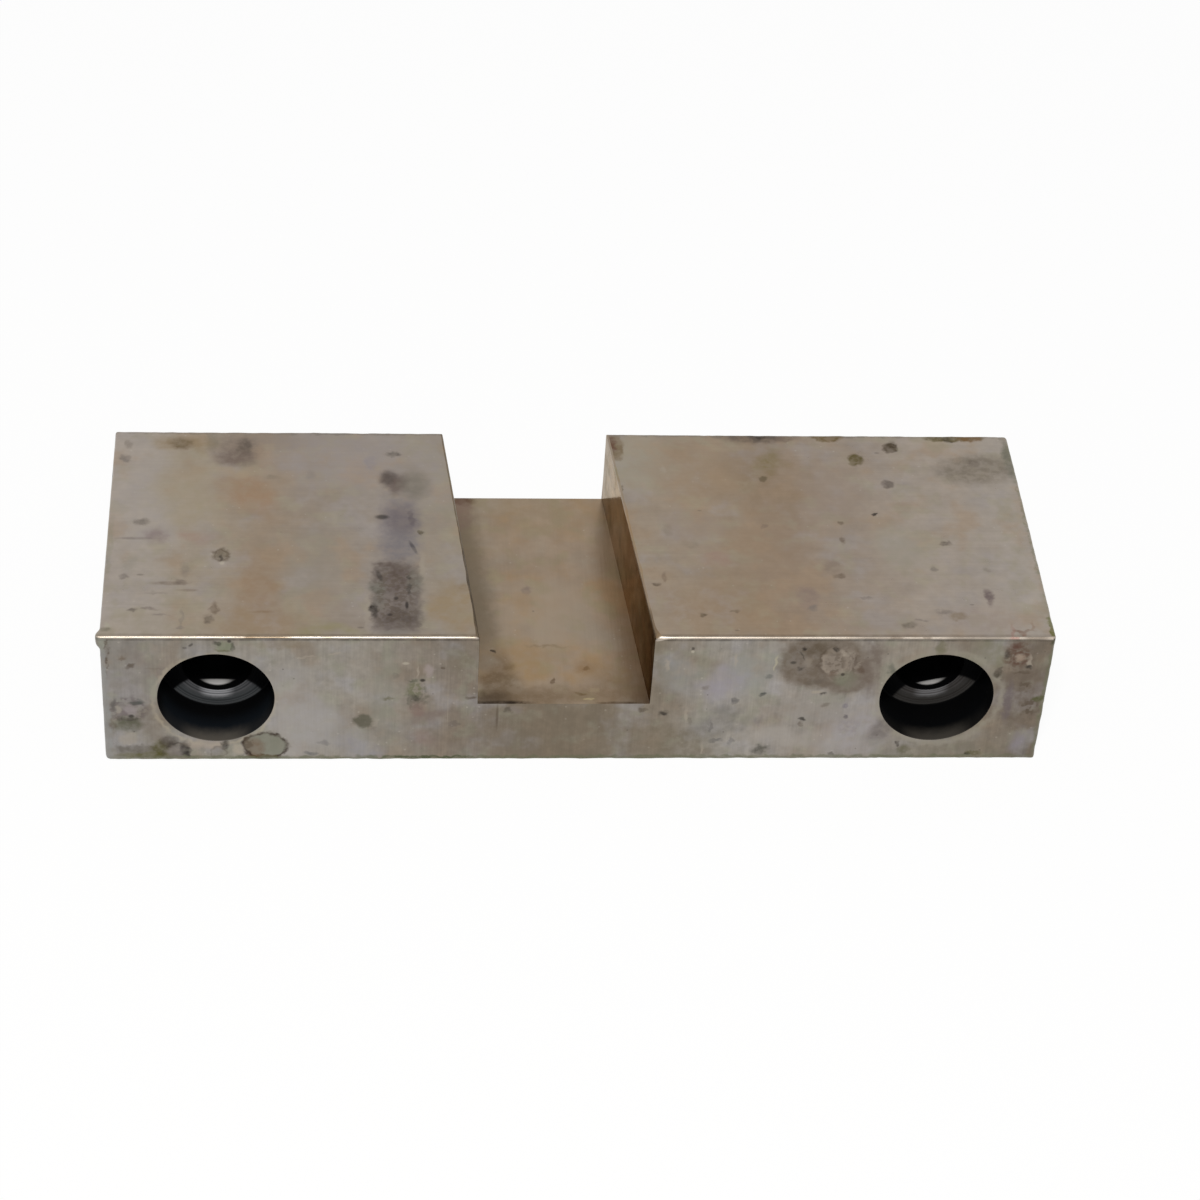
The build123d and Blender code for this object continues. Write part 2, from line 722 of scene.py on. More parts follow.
@dataclass(frozen=True)
class BoreWithPaintedLight:
    """The turned and drilled steel inside the holes, dark, with the key lamp's light and shade painted in.

    Depths run from the front face, heights and falls from the hole's middle, all in millimetres. A pair
    of shares or middles is for the left hole and then the right one.
    """

    name: str
    hole_inset: float
    hole_height: float
    hole_radius: float
    counterbore_radius: float
    shoulder_depth: float
    # painted light: the lit part bounded by the front rim's shadow, shifted for each hole, and the painted
    # highlight's middle
    painted_light_middle: tuple[float, float] = (-0.1, 2.7)
    highlight_middle: tuple[float, float] = (0.2, -0.9)
    painted_light_drop: float = 10.8
    painted_light_reach: Fade = (8.85, 8.35)
    inner_reach: Fade = (7.7, 6.7)
    inner_swing: float = 0.6
    highlight_fall: Fade = (0.0, 9.0, 1.1, 0.28)
    ring_size: float = 0.34
    rings: Fade = (0.42, 0.6, 0.0, 0.5)
    right_brown: float = 0.5
    # painted light on the wall by the front rim: its depth, fall to the sides and share in each hole
    lip_depth: Fade = (3.3, 0.4)
    lip_fall: Fade = (2.0, 34.0, 1.0, 0.12)
    lip_swing: float = 1.2
    lip_share: tuple[float, float] = (1.0, 0.6)
    # painted shade on the counterbore wall, deeper in and higher up, and more of it in the right hole
    wall_shade_depth: Fade = (6.6, 2.6)
    wall_shade_height: Fade = (-1.6, -5.0)
    right_black: float = 0.9
    # painted light low in the drilled hole: its bow, depth, height and fall
    lens_bow: float = 0.06
    lens_depth: Fade = (8.95, 9.4)
    lens_height: Fade = (-3.6, -4.7)
    lens_fall: Fade = (0.0, 7.0, 1.0, 0.15)
    hole_edge: tuple[float, float] = (0.06, 0.01)
    wall_edge: tuple[float, float] = (0.3, 0.12)
    # painted shade where the key lamp doesn't reach
    painted_shade: Tone = (0.0012, 0.0013, 0.0016)
    wall: Tone = (0.0055, 0.0078, 0.0110)
    # painted light on the wall by the front rim
    lip_light: Tone = (0.088, 0.080, 0.070)
    # painted highlight on the inner shoulder
    shoulder_highlight: Tone = (0.36, 0.37, 0.40)
    shoulder_outer: Tone = (0.070, 0.076, 0.082)
    # painted light: the lit patch low in the drilled hole
    drilled: Tone = (0.60, 0.60, 0.61)
    brown: Tone = (0.030, 0.021, 0.013)
    sheen: float = 0.06
    roughness: float = 0.6
    rough_spread: float = 0.1

    def build(self, effect: Effect) -> bpy.types.Material:
        """Makes the material.

        Args:
            effect: The shared node groups.

        Returns:
            The material.
        """
        material = bpy.data.materials.new(self.name)
        w = emptied(material)
        place = w.place()
        clouds = w.group(effect.patina, Place=place)
        x, y, z = w.parts(place)
        right = w.math("GREATER_THAN", x, 0.0)
        across = w.minus(x, w.between(right, -self.hole_inset, self.hole_inset))
        up = w.minus(z, self.hole_height)
        radius = self._length(w, across, up)
        depth = w.plus(y, -on_front.level)

        # painted light: the part lit by the key lamp, bounded by the shadow of the front rim, which falls
        # lower the deeper it goes
        lean = w.times(depth, 1.0 / self.shoulder_depth)
        aside = w.minus(across, w.times(lean, w.between(right, *self.painted_light_middle)))
        below = w.plus(up, w.times(lean, self.painted_light_drop))
        painted_light = w.fade(self._length(w, aside, below), *self.painted_light_reach)
        middle = w.plus(across, w.between(right, *self.highlight_middle))
        fall = w.times(middle, middle)

        # painted highlight on the inner shoulder, brightest in the middle
        inner = w.fade(w.plus(radius, w.times(clouds["Small"], self.inner_swing)), *self.inner_reach)
        bright = w.scaled(self.shoulder_highlight, w.fade(fall, *self.highlight_fall))
        shoulder = w.blend(inner, self.shoulder_outer, bright)
        rings = w.cloud(w.joined(radius), self.ring_size)
        shoulder = w.blend(w.fade(rings, *self.rings), shoulder, self.wall)
        shoulder = w.blend(w.times(right, self.right_brown), shoulder, self.brown)
        # painted shade on the shoulder outside the lit part
        shoulder = w.blend(painted_light, self.painted_shade, shoulder)

        # painted light on the wall by the front rim, falling off to the sides; painted shade deeper in,
        # higher up and in the right hole
        uneven = w.plus(depth, w.swing(clouds["Small"], self.lip_swing))
        lip_light = w.times(w.fade(uneven, *self.lip_depth), w.fade(fall, *self.lip_fall))
        wall = w.blend(w.fade(depth, *self.wall_shade_depth), self.painted_shade, self.wall)
        wall = w.blend(w.times(right, self.right_black), wall, self.painted_shade)
        wall = w.blend(w.times(lip_light, w.between(right, *self.lip_share)), wall, self.lip_light)
        wall = w.blend(w.fade(up, *self.wall_shade_height), self.painted_shade, wall)

        # painted light: the lit patch low in the drilled hole, painted shade elsewhere in it
        bowed = w.minus(depth, w.times(fall, self.lens_bow))
        lens = w.times(w.times(w.fade(bowed, *self.lens_depth), painted_light), w.fade(up, *self.lens_height))
        hole = w.blend(lens, self.painted_shade, w.scaled(self.drilled, w.fade(fall, *self.lens_fall)))

        in_hole = w.fade(radius, *(self.hole_radius + edge for edge in self.hole_edge))
        on_wall = w.fade(radius, *(self.counterbore_radius - edge for edge in self.wall_edge))
        colour = w.blend(on_wall, w.blend(in_hole, shoulder, hole), wall)
        shader = w.add("ShaderNodeBsdfPrincipled")
        w.feed(shader.inputs["Base Color"], colour)
        shader.inputs["Metallic"].default_value = 0.0
        shader.inputs["Specular IOR Level"].default_value = self.sheen
        rough = (self.roughness - self.rough_spread, self.roughness + self.rough_spread)
        w.feed(shader.inputs["Roughness"], w.between(clouds["Small"], *rough))
        w.finish(shader)
        return material

    @staticmethod
    def _length(w: Wiring, across: bpy.types.NodeSocket, up: bpy.types.NodeSocket) -> bpy.types.NodeSocket:
        """The distance that two legs make."""
        return w.math("SQRT", w.plus(w.times(across, across), w.times(up, up)))


@dataclass(frozen=True)
class RubbedEdgeAndHighlight:
    """Bare steel along the two front edges of the top, rubbed bright and uneven along its length, partly a
    painted highlight of the key lamp.
    """

    name: str
    bright: Tone = shade(184, 174, 162)
    dull: Tone = shade(132, 118, 102)
    patches: Fade = (0.5, 0.7, 0.0, 0.5)
    roughness: float = 0.42
    rough_spread: float = 0.1
    stains_and_painted_light: tuple[StainAndPaintedLight, ...] = ()

    def build(self, effect: Effect) -> bpy.types.Material:
        """Makes the material.

        Args:
            effect: The shared node groups.

        Returns:
            The material.
        """
        material = bpy.data.materials.new(self.name)
        w = emptied(material)
        place = w.place()
        clouds = w.group(effect.patina, Place=place)
        colour = w.blend(w.fade(clouds["Tint"], *self.patches), self.bright, self.dull)
        for stain in self.stains_and_painted_light:
            mask = stain.mask(w, effect, place, 0.0)
            colour = w.blend(w.times(mask, stain.strength), colour, shade(*stain.tone))
        shader = w.add("ShaderNodeBsdfPrincipled")
        w.feed(shader.inputs["Base Color"], colour)
        shader.inputs["Metallic"].default_value = 1.0
        rough = (self.roughness - self.rough_spread, self.roughness + self.rough_spread)
        w.feed(shader.inputs["Roughness"], w.between(clouds["Small"], *rough))
        w.finish(shader)
        return material


SOOT = (38, 34, 32)
PIT = (62, 56, 51)
UMBER = (86, 74, 62)
BROWN = (106, 92, 77)
OLIVE = (92, 88, 58)
MOSS = (114, 114, 92)
ASH = (120, 112, 105)
LILAC = (150, 142, 142)
CREAM = (160, 150, 136)
CHALK = (190, 182, 164)

LOOSE = {"outline": Outline.LOOSE, "soft": 0.6}
DRAWN = {"outline": Outline.DRAWN, "soft": 0.5, "break_up": 0.0}
GRAINS = {"breaks": Break.GRAINS, "break_up": 0.8}

LAND_STAINS = (
    # broad tints of the left land
    on_land(-67.0, 8.0, 4.5, 14.0, (158, 150, 144), 0.5, **LOOSE),
    on_land(-60.0, 8.0, 4.5, 9.0, (155, 143, 121), 0.6, **LOOSE),
    on_land(-50.6, 8.6, 3.2, 5.6, (151, 124, 99), 0.7, turn=-25.0, **LOOSE),
    on_land(-47.0, 23.6, 10.0, 2.4, (134, 125, 117), 0.6, **LOOSE),
    on_land(-52.0, 14.6, 4.0, 1.6, (162, 145, 122), 0.6, **LOOSE),
    on_land(-48.6, -14.5, 3.0, 7.0, (142, 118, 93), 0.6, **LOOSE),
    on_land(-48.5, -22.0, 8.0, 3.0, (144, 124, 99), 0.6, **LOOSE),
    on_land(-39.0, -23.4, 4.5, 1.8, (139, 131, 96), 0.6, **LOOSE),
    on_land(-40.0, -8.0, 4.0, 9.0, (143, 135, 123), 0.5, **LOOSE),
    on_land(-37.0, 18.0, 10.0, 8.0, (150, 142, 139), 0.6, **LOOSE),
    on_land(-22.0, 14.0, 3.0, 11.0, (150, 142, 137), 0.5, **LOOSE),
    on_land(-20.0, -18.5, 3.4, 5.0, (147, 128, 99), 0.7, **LOOSE),
    on_land(-58.5, -1.2, 3.4, 1.8, (152, 128, 116), 0.6, **LOOSE),
    on_land(-66.5, -22.0, 6.0, 3.0, (150, 140, 124), 0.4, **LOOSE),
    # broad tints of the right land
    on_land(11.0, 18.0, 4.0, 7.0, (153, 147, 132), 0.6, **LOOSE),
    on_land(20.5, 14.0, 6.0, 7.0, (149, 129, 106), 0.55, **LOOSE),
    on_land(30.5, 12.5, 6.0, 8.0, (135, 117, 95), 0.65, **LOOSE),
    on_land(32.6, 17.6, 2.6, 3.4, (120, 107, 72), 0.75, **LOOSE),
    on_land(21.0, -18.0, 9.0, 7.0, (143, 122, 98), 0.6, **LOOSE),
    on_land(30.0, -4.0, 6.0, 8.0, (143, 124, 104), 0.5, **LOOSE),
    on_land(18.0, 1.0, 4.0, 5.0, (147, 133, 121), 0.5, **LOOSE),
    on_land(42.0, 10.0, 5.0, 7.0, (144, 129, 116), 0.5, **LOOSE),
    on_land(51.0, -3.0, 4.5, 6.0, (149, 143, 130), 0.6, **LOOSE),
    on_land(62.0, -21.0, 6.0, 3.0, (148, 133, 123), 0.5, **LOOSE),
    on_land(21.2, -6.7, 1.5, 1.4, (148, 123, 112), 0.6, **LOOSE),
    # the smear across the left land, with its specks
    on_land(-27.2, 1.0, 3.2, 9.0, (134, 127, 126), 0.8, square=0.4, soft=0.4),
    on_land(-26.8, 2.6, 2.6, 4.0, (107, 99, 101), 0.85, soft=0.6, break_up=0.2),
    on_land(-27.2, -3.6, 2.8, 3.4, (118, 113, 114), 0.8, soft=0.6),
    on_land(-27.9, -16.0, 3.8, 8.5, (110, 101, 96), 0.88, square=0.7, soft=0.17, break_up=0.2),
    on_land(-27.6, -11.0, 1.6, 3.4, (90, 77, 72), 0.7, soft=0.6),
    on_land(-27.3, -20.4, 2.8, 2.3, (85, 75, 69), 0.75, soft=0.6),
    on_land(-30.7, -13.8, 1.2, 1.8, (112, 114, 100), 0.55, soft=0.6),
    on_land(-24.9, -12.0, 1.2, 2.6, (122, 120, 108), 0.55, soft=0.6),
    on_land(-30.5, -17.4, 1.2, 1.4, (118, 116, 106), 0.5, soft=0.6),
    on_land(-28.0, -15.5, 3.5, 7.5, UMBER, 0.45, square=0.5, breaks=Break.GRAINS, break_up=1.0),
    on_land(-28.2, -23.9, 2.8, 0.8, (138, 132, 124), 0.5),
    on_land(-32.3, -19.0, 0.35, 4.5, CREAM, 0.45),
    on_land(-23.7, -8.4, 0.45, 3.0, CREAM, 0.5),
    on_land(-29.6, -8.0, 1.6, 0.6, (92, 80, 74), 0.75),
    on_land(-28.5, 13.1, 1.6, 1.9, (86, 76, 71), 0.9, soft=0.6, break_up=0.15),
    on_land(-27.0, 11.6, 1.3, 2.5, (100, 86, 80), 0.8, turn=20.0, soft=0.6, break_up=0.2),
    on_land(-24.6, 11.4, 2.2, 3.4, (117, 111, 100), 0.75, soft=0.6, break_up=0.2),
    on_land(-31.5, 17.0, 0.9, 1.6, (134, 128, 132), 0.6),
    on_land(-27.9, 19.3, 1.1, 0.6, (92, 86, 78), 0.8),
    on_land(-29.8, 3.5, 1.0, 0.55, (52, 49, 48), 0.75, **DRAWN),
    on_land(-25.2, 3.4, 0.4, 1.7, (90, 82, 84), 0.65),
    on_land(-23.9, -0.2, 0.35, 0.55, (84, 76, 58), 0.8),
    on_land(-25.1, -3.9, 0.3, 1.5, (78, 74, 76), 0.8, turn=-20.0, outline=Outline.DRAWN),
    on_land(-30.4, -10.7, 0.4, 1.2, SOOT, 0.55, turn=-15.0, outline=Outline.DRAWN),
    on_land(-26.0, -11.3, 0.35, 0.6, SOOT, 0.6),
    on_land(-25.9, -14.0, 0.4, 1.4, PIT, 0.75),
    on_land(-27.9, -16.0, 0.35, 0.4, SOOT, 0.6, **DRAWN),
    on_land(-26.3, -17.6, 0.25, 0.8, SOOT, 0.75, **DRAWN),
    on_land(-31.3, -18.8, 0.5, 1.6, (30, 26, 24), 0.92, soft=0.5),
    on_land(-28.9, -19.8, 0.4, 0.3, SOOT, 0.55, **DRAWN),
    on_land(-30.6, -14.6, 0.35, 0.5, PIT, 0.2),
    on_land(-31.3, -13.6, 0.3, 0.9, PIT, 0.15),
    # marks on the left land
    on_land(-52.8, 20.0, 3.6, 3.6, (124, 111, 101), 0.8, soft=0.5),
    on_land(-51.4, 21.0, 1.2, 2.2, (94, 84, 75), 0.8, soft=0.6),
    on_land(-52.6, 18.2, 2.6, 1.8, (110, 95, 86), 0.7, soft=0.6),
    on_land(-56.6, 22.4, 0.8, 2.2, (112, 108, 96), 0.45),
    on_land(-60.6, 22.8, 4.5, 2.2, (140, 122, 94), 0.7, **LOOSE),
    on_land(-61.5, 21.8, 1.8, 1.5, (106, 91, 68), 0.85, soft=0.5),
    on_land(-70.1, 17.8, 0.9, 0.9, ASH, 0.8),
    on_land(-69.8, 21.6, 0.7, 1.0, (130, 121, 112), 0.7),
    on_land(-66.8, 2.0, 0.9, 0.8, (96, 89, 82), 0.85, soft=0.6),
    on_land(-67.4, -1.9, 2.8, 0.3, (112, 104, 99), 0.65, soft=0.6, outline=Outline.DRAWN),
    on_land(-64.5, -1.3, 1.7, 1.6, (128, 113, 111), 0.65, soft=0.6),
    on_land(-54.5, -5.9, 1.15, 1.3, (88, 75, 58), 0.85, rim=0.9, fill=0.7, soft=0.4),
    on_land(-54.4, -6.6, 0.3, 0.8, PIT, 0.7),
    on_land(-54.3, -7.8, 0.35, 0.4, CHALK, 0.4, **DRAWN),
    on_land(-68.4, -8.0, 1.3, 1.8, (136, 131, 120), 0.5, soft=0.6),
    on_land(-68.8, -11.0, 0.8, 0.5, ASH, 0.7),
    on_land(-59.9, -9.4, 0.8, 1.4, ASH, 0.5, soft=0.6),
    on_land(-62.2, -12.6, 2.4, 0.4, BROWN, 0.6, soft=0.6, outline=Outline.DRAWN),
    on_land(-60.2, -12.3, 1.1, 0.7, (92, 80, 73), 0.6),
    on_land(-59.3, -14.2, 1.3, 0.3, BROWN, 0.6, soft=0.6, outline=Outline.DRAWN),
    on_land(-64.0, -14.8, 1.6, 0.3, ASH, 0.5, soft=0.6),
    on_land(-67.5, -18.7, 0.75, 0.45, (100, 92, 84), 0.75, soft=0.6),
    on_land(-64.9, -18.5, 1.3, 0.3, (108, 98, 90), 0.65, soft=0.6),
    on_land(-63.0, -20.0, 1.1, 0.25, ASH, 0.55, soft=0.6),
    on_land(-60.0, -20.6, 0.3, 2.0, ASH, 0.5),
    on_land(-59.9, -22.8, 0.7, 0.3, ASH, 0.7),
    on_land(-56.0, -21.0, 0.7, 0.9, (100, 90, 78), 0.85),
    on_land(-55.2, -18.4, 0.5, 1.4, BROWN, 0.75),
    on_land(-48.2, -19.2, 1.6, 0.3, (124, 102, 76), 0.5, soft=0.6, outline=Outline.DRAWN),
    on_land(-47.0, 13.4, 1.3, 0.4, (126, 116, 99), 0.45),
    on_land(-41.0, 14.0, 0.8, 1.1, (134, 126, 120), 0.6),
    on_land(-71.6, -4.0, 0.6, 7.0, (122, 124, 102), 0.25),
    on_land(-71.2, -23.4, 0.9, 0.6, (104, 100, 84), 0.6),
    on_land(-70.7, -22.3, 0.5, 0.6, (168, 166, 146), 0.5),
    on_land(-18.8, -15.0, 2.0, 1.0, (130, 110, 80), 0.75, **LOOSE),
    # marks on the right land
    on_land(7.7, 21.4, 1.3, 3.4, (116, 100, 76), 0.85, soft=0.2),
    on_land(7.1, 22.2, 0.8, 2.0, (98, 70, 56), 0.85),
    on_land(8.1, 11.0, 0.3, 0.9, (104, 94, 76), 0.75),
    on_land(30.9, 13.6, 0.45, 0.6, (100, 88, 68), 0.8),
    on_land(46.4, 18.6, 1.35, 1.4, (88, 78, 44), 0.95, soft=0.25),
    on_land(52.4, 21.8, 1.2, 1.5, (70, 58, 42), 0.95, soft=0.25, turn=20.0),
    on_land(50.9, 12.3, 0.85, 1.0, (96, 87, 80), 0.85, break_up=0.2),
    on_land(47.6, 4.6, 0.35, 0.55, SOOT, 0.85, turn=25.0),
    on_land(42.1, 2.4, 0.45, 0.5, BROWN, 0.8),
    on_land(41.9, -2.0, 0.45, 0.8, BROWN, 0.75),
    on_land(58.0, -2.5, 0.9, 0.55, (98, 89, 81), 0.85),
    on_land(55.3, -8.8, 0.6, 0.6, ASH, 0.75),
    on_land(63.7, -9.0, 0.6, 0.6, ASH, 0.4),
    on_land(63.0, -15.6, 0.75, 1.9, (102, 89, 88), 0.85),
    on_land(55.5, -19.0, 1.1, 0.6, ASH, 0.75),
    on_land(57.6, -20.0, 1.3, 0.9, (126, 112, 92), 0.7),
    on_land(50.0, -22.0, 1.0, 0.8, (108, 100, 88), 0.8),
    on_land(51.8, -21.0, 1.0, 0.3, ASH, 0.6),
    on_land(40.4, -10.6, 0.8, 0.5, BROWN, 0.8),
    on_land(39.5, -8.4, 1.4, 1.6, (130, 116, 104), 0.7),
    on_land(44.0, -15.7, 0.9, 0.4, ASH, 0.7),
    on_land(18.6, -19.8, 0.5, 0.5, (86, 74, 57), 0.85),
    on_land(23.4, -18.8, 0.7, 0.35, (116, 102, 85), 0.75),
    on_land(11.8, -12.6, 0.6, 0.45, (84, 72, 59), 0.85),
    on_land(13.3, -11.0, 0.4, 1.0, (122, 106, 90), 0.7),
    on_land(35.0, -15.6, 1.5, 2.8, (131, 115, 106), 0.7),
    on_land(35.5, -18.1, 0.7, 0.7, ASH, 0.7),
    on_land(14.6, 0.6, 0.7, 1.4, (132, 120, 108), 0.5),
    on_land(18.0, -2.9, 1.2, 1.0, (131, 120, 104), 0.5),
    on_land(30.0, 1.5, 0.6, 0.5, (126, 110, 96), 0.7),
    on_land(65.6, 16.2, 6.4, 3.6, (118, 109, 96), 0.85, turn=-8.0, soft=0.4),
    on_land(65.7, 17.8, 1.0, 0.9, (104, 94, 84), 0.8),
    on_land(71.4, 19.0, 0.9, 5.0, (98, 98, 84), 0.75),
    on_land(15.0, 15.8, 0.5, 1.0, CREAM, 0.5),
    # darker along the back edge, and marks there
    on_land(0.0, 24.9, 72.0, 0.5, (116, 110, 101), 0.6, square=1.0, soft=0.5),
    on_land(31.0, 24.4, 5.0, 1.4, (80, 72, 66), 0.85, soft=0.6),
    on_land(31.6, 24.3, 0.7, 0.6, SOOT, 0.9),
    on_land(35.6, 24.0, 1.3, 0.9, (116, 100, 88), 0.7),
    on_land(42.4, 24.6, 2.4, 1.5, (102, 85, 52), 0.95, soft=0.2),
    on_land(62.8, 24.7, 5.0, 1.2, (92, 82, 50), 0.9, soft=0.2),
    on_land(62.0, 24.0, 0.7, 0.8, PIT, 0.5),
    on_land(65.6, 24.2, 2.0, 0.7, (116, 90, 60), 0.85),
    # the front edge
    on_land(0.0, -24.7, 72.0, 0.45, BROWN, 0.55, square=1.0, soft=0.4, outline=Outline.DRAWN),
    on_land(65.5, -23.6, 0.3, 1.4, (142, 104, 94), 0.6),
    on_land(67.1, -23.3, 1.7, 0.3, (116, 92, 78), 0.75),
    on_land(67.0, -24.2, 0.5, 0.7, (122, 92, 76), 0.6),
    on_land(68.7, -22.3, 0.3, 1.0, (136, 116, 100), 0.6),
    on_land(71.8, -22.6, 0.6, 2.8, (92, 95, 38), 0.9, soft=0.25),
    on_land(71.9, 2.0, 0.5, 22.0, MOSS, 0.5, breaks=Break.GRAINS, break_up=0.7),
)

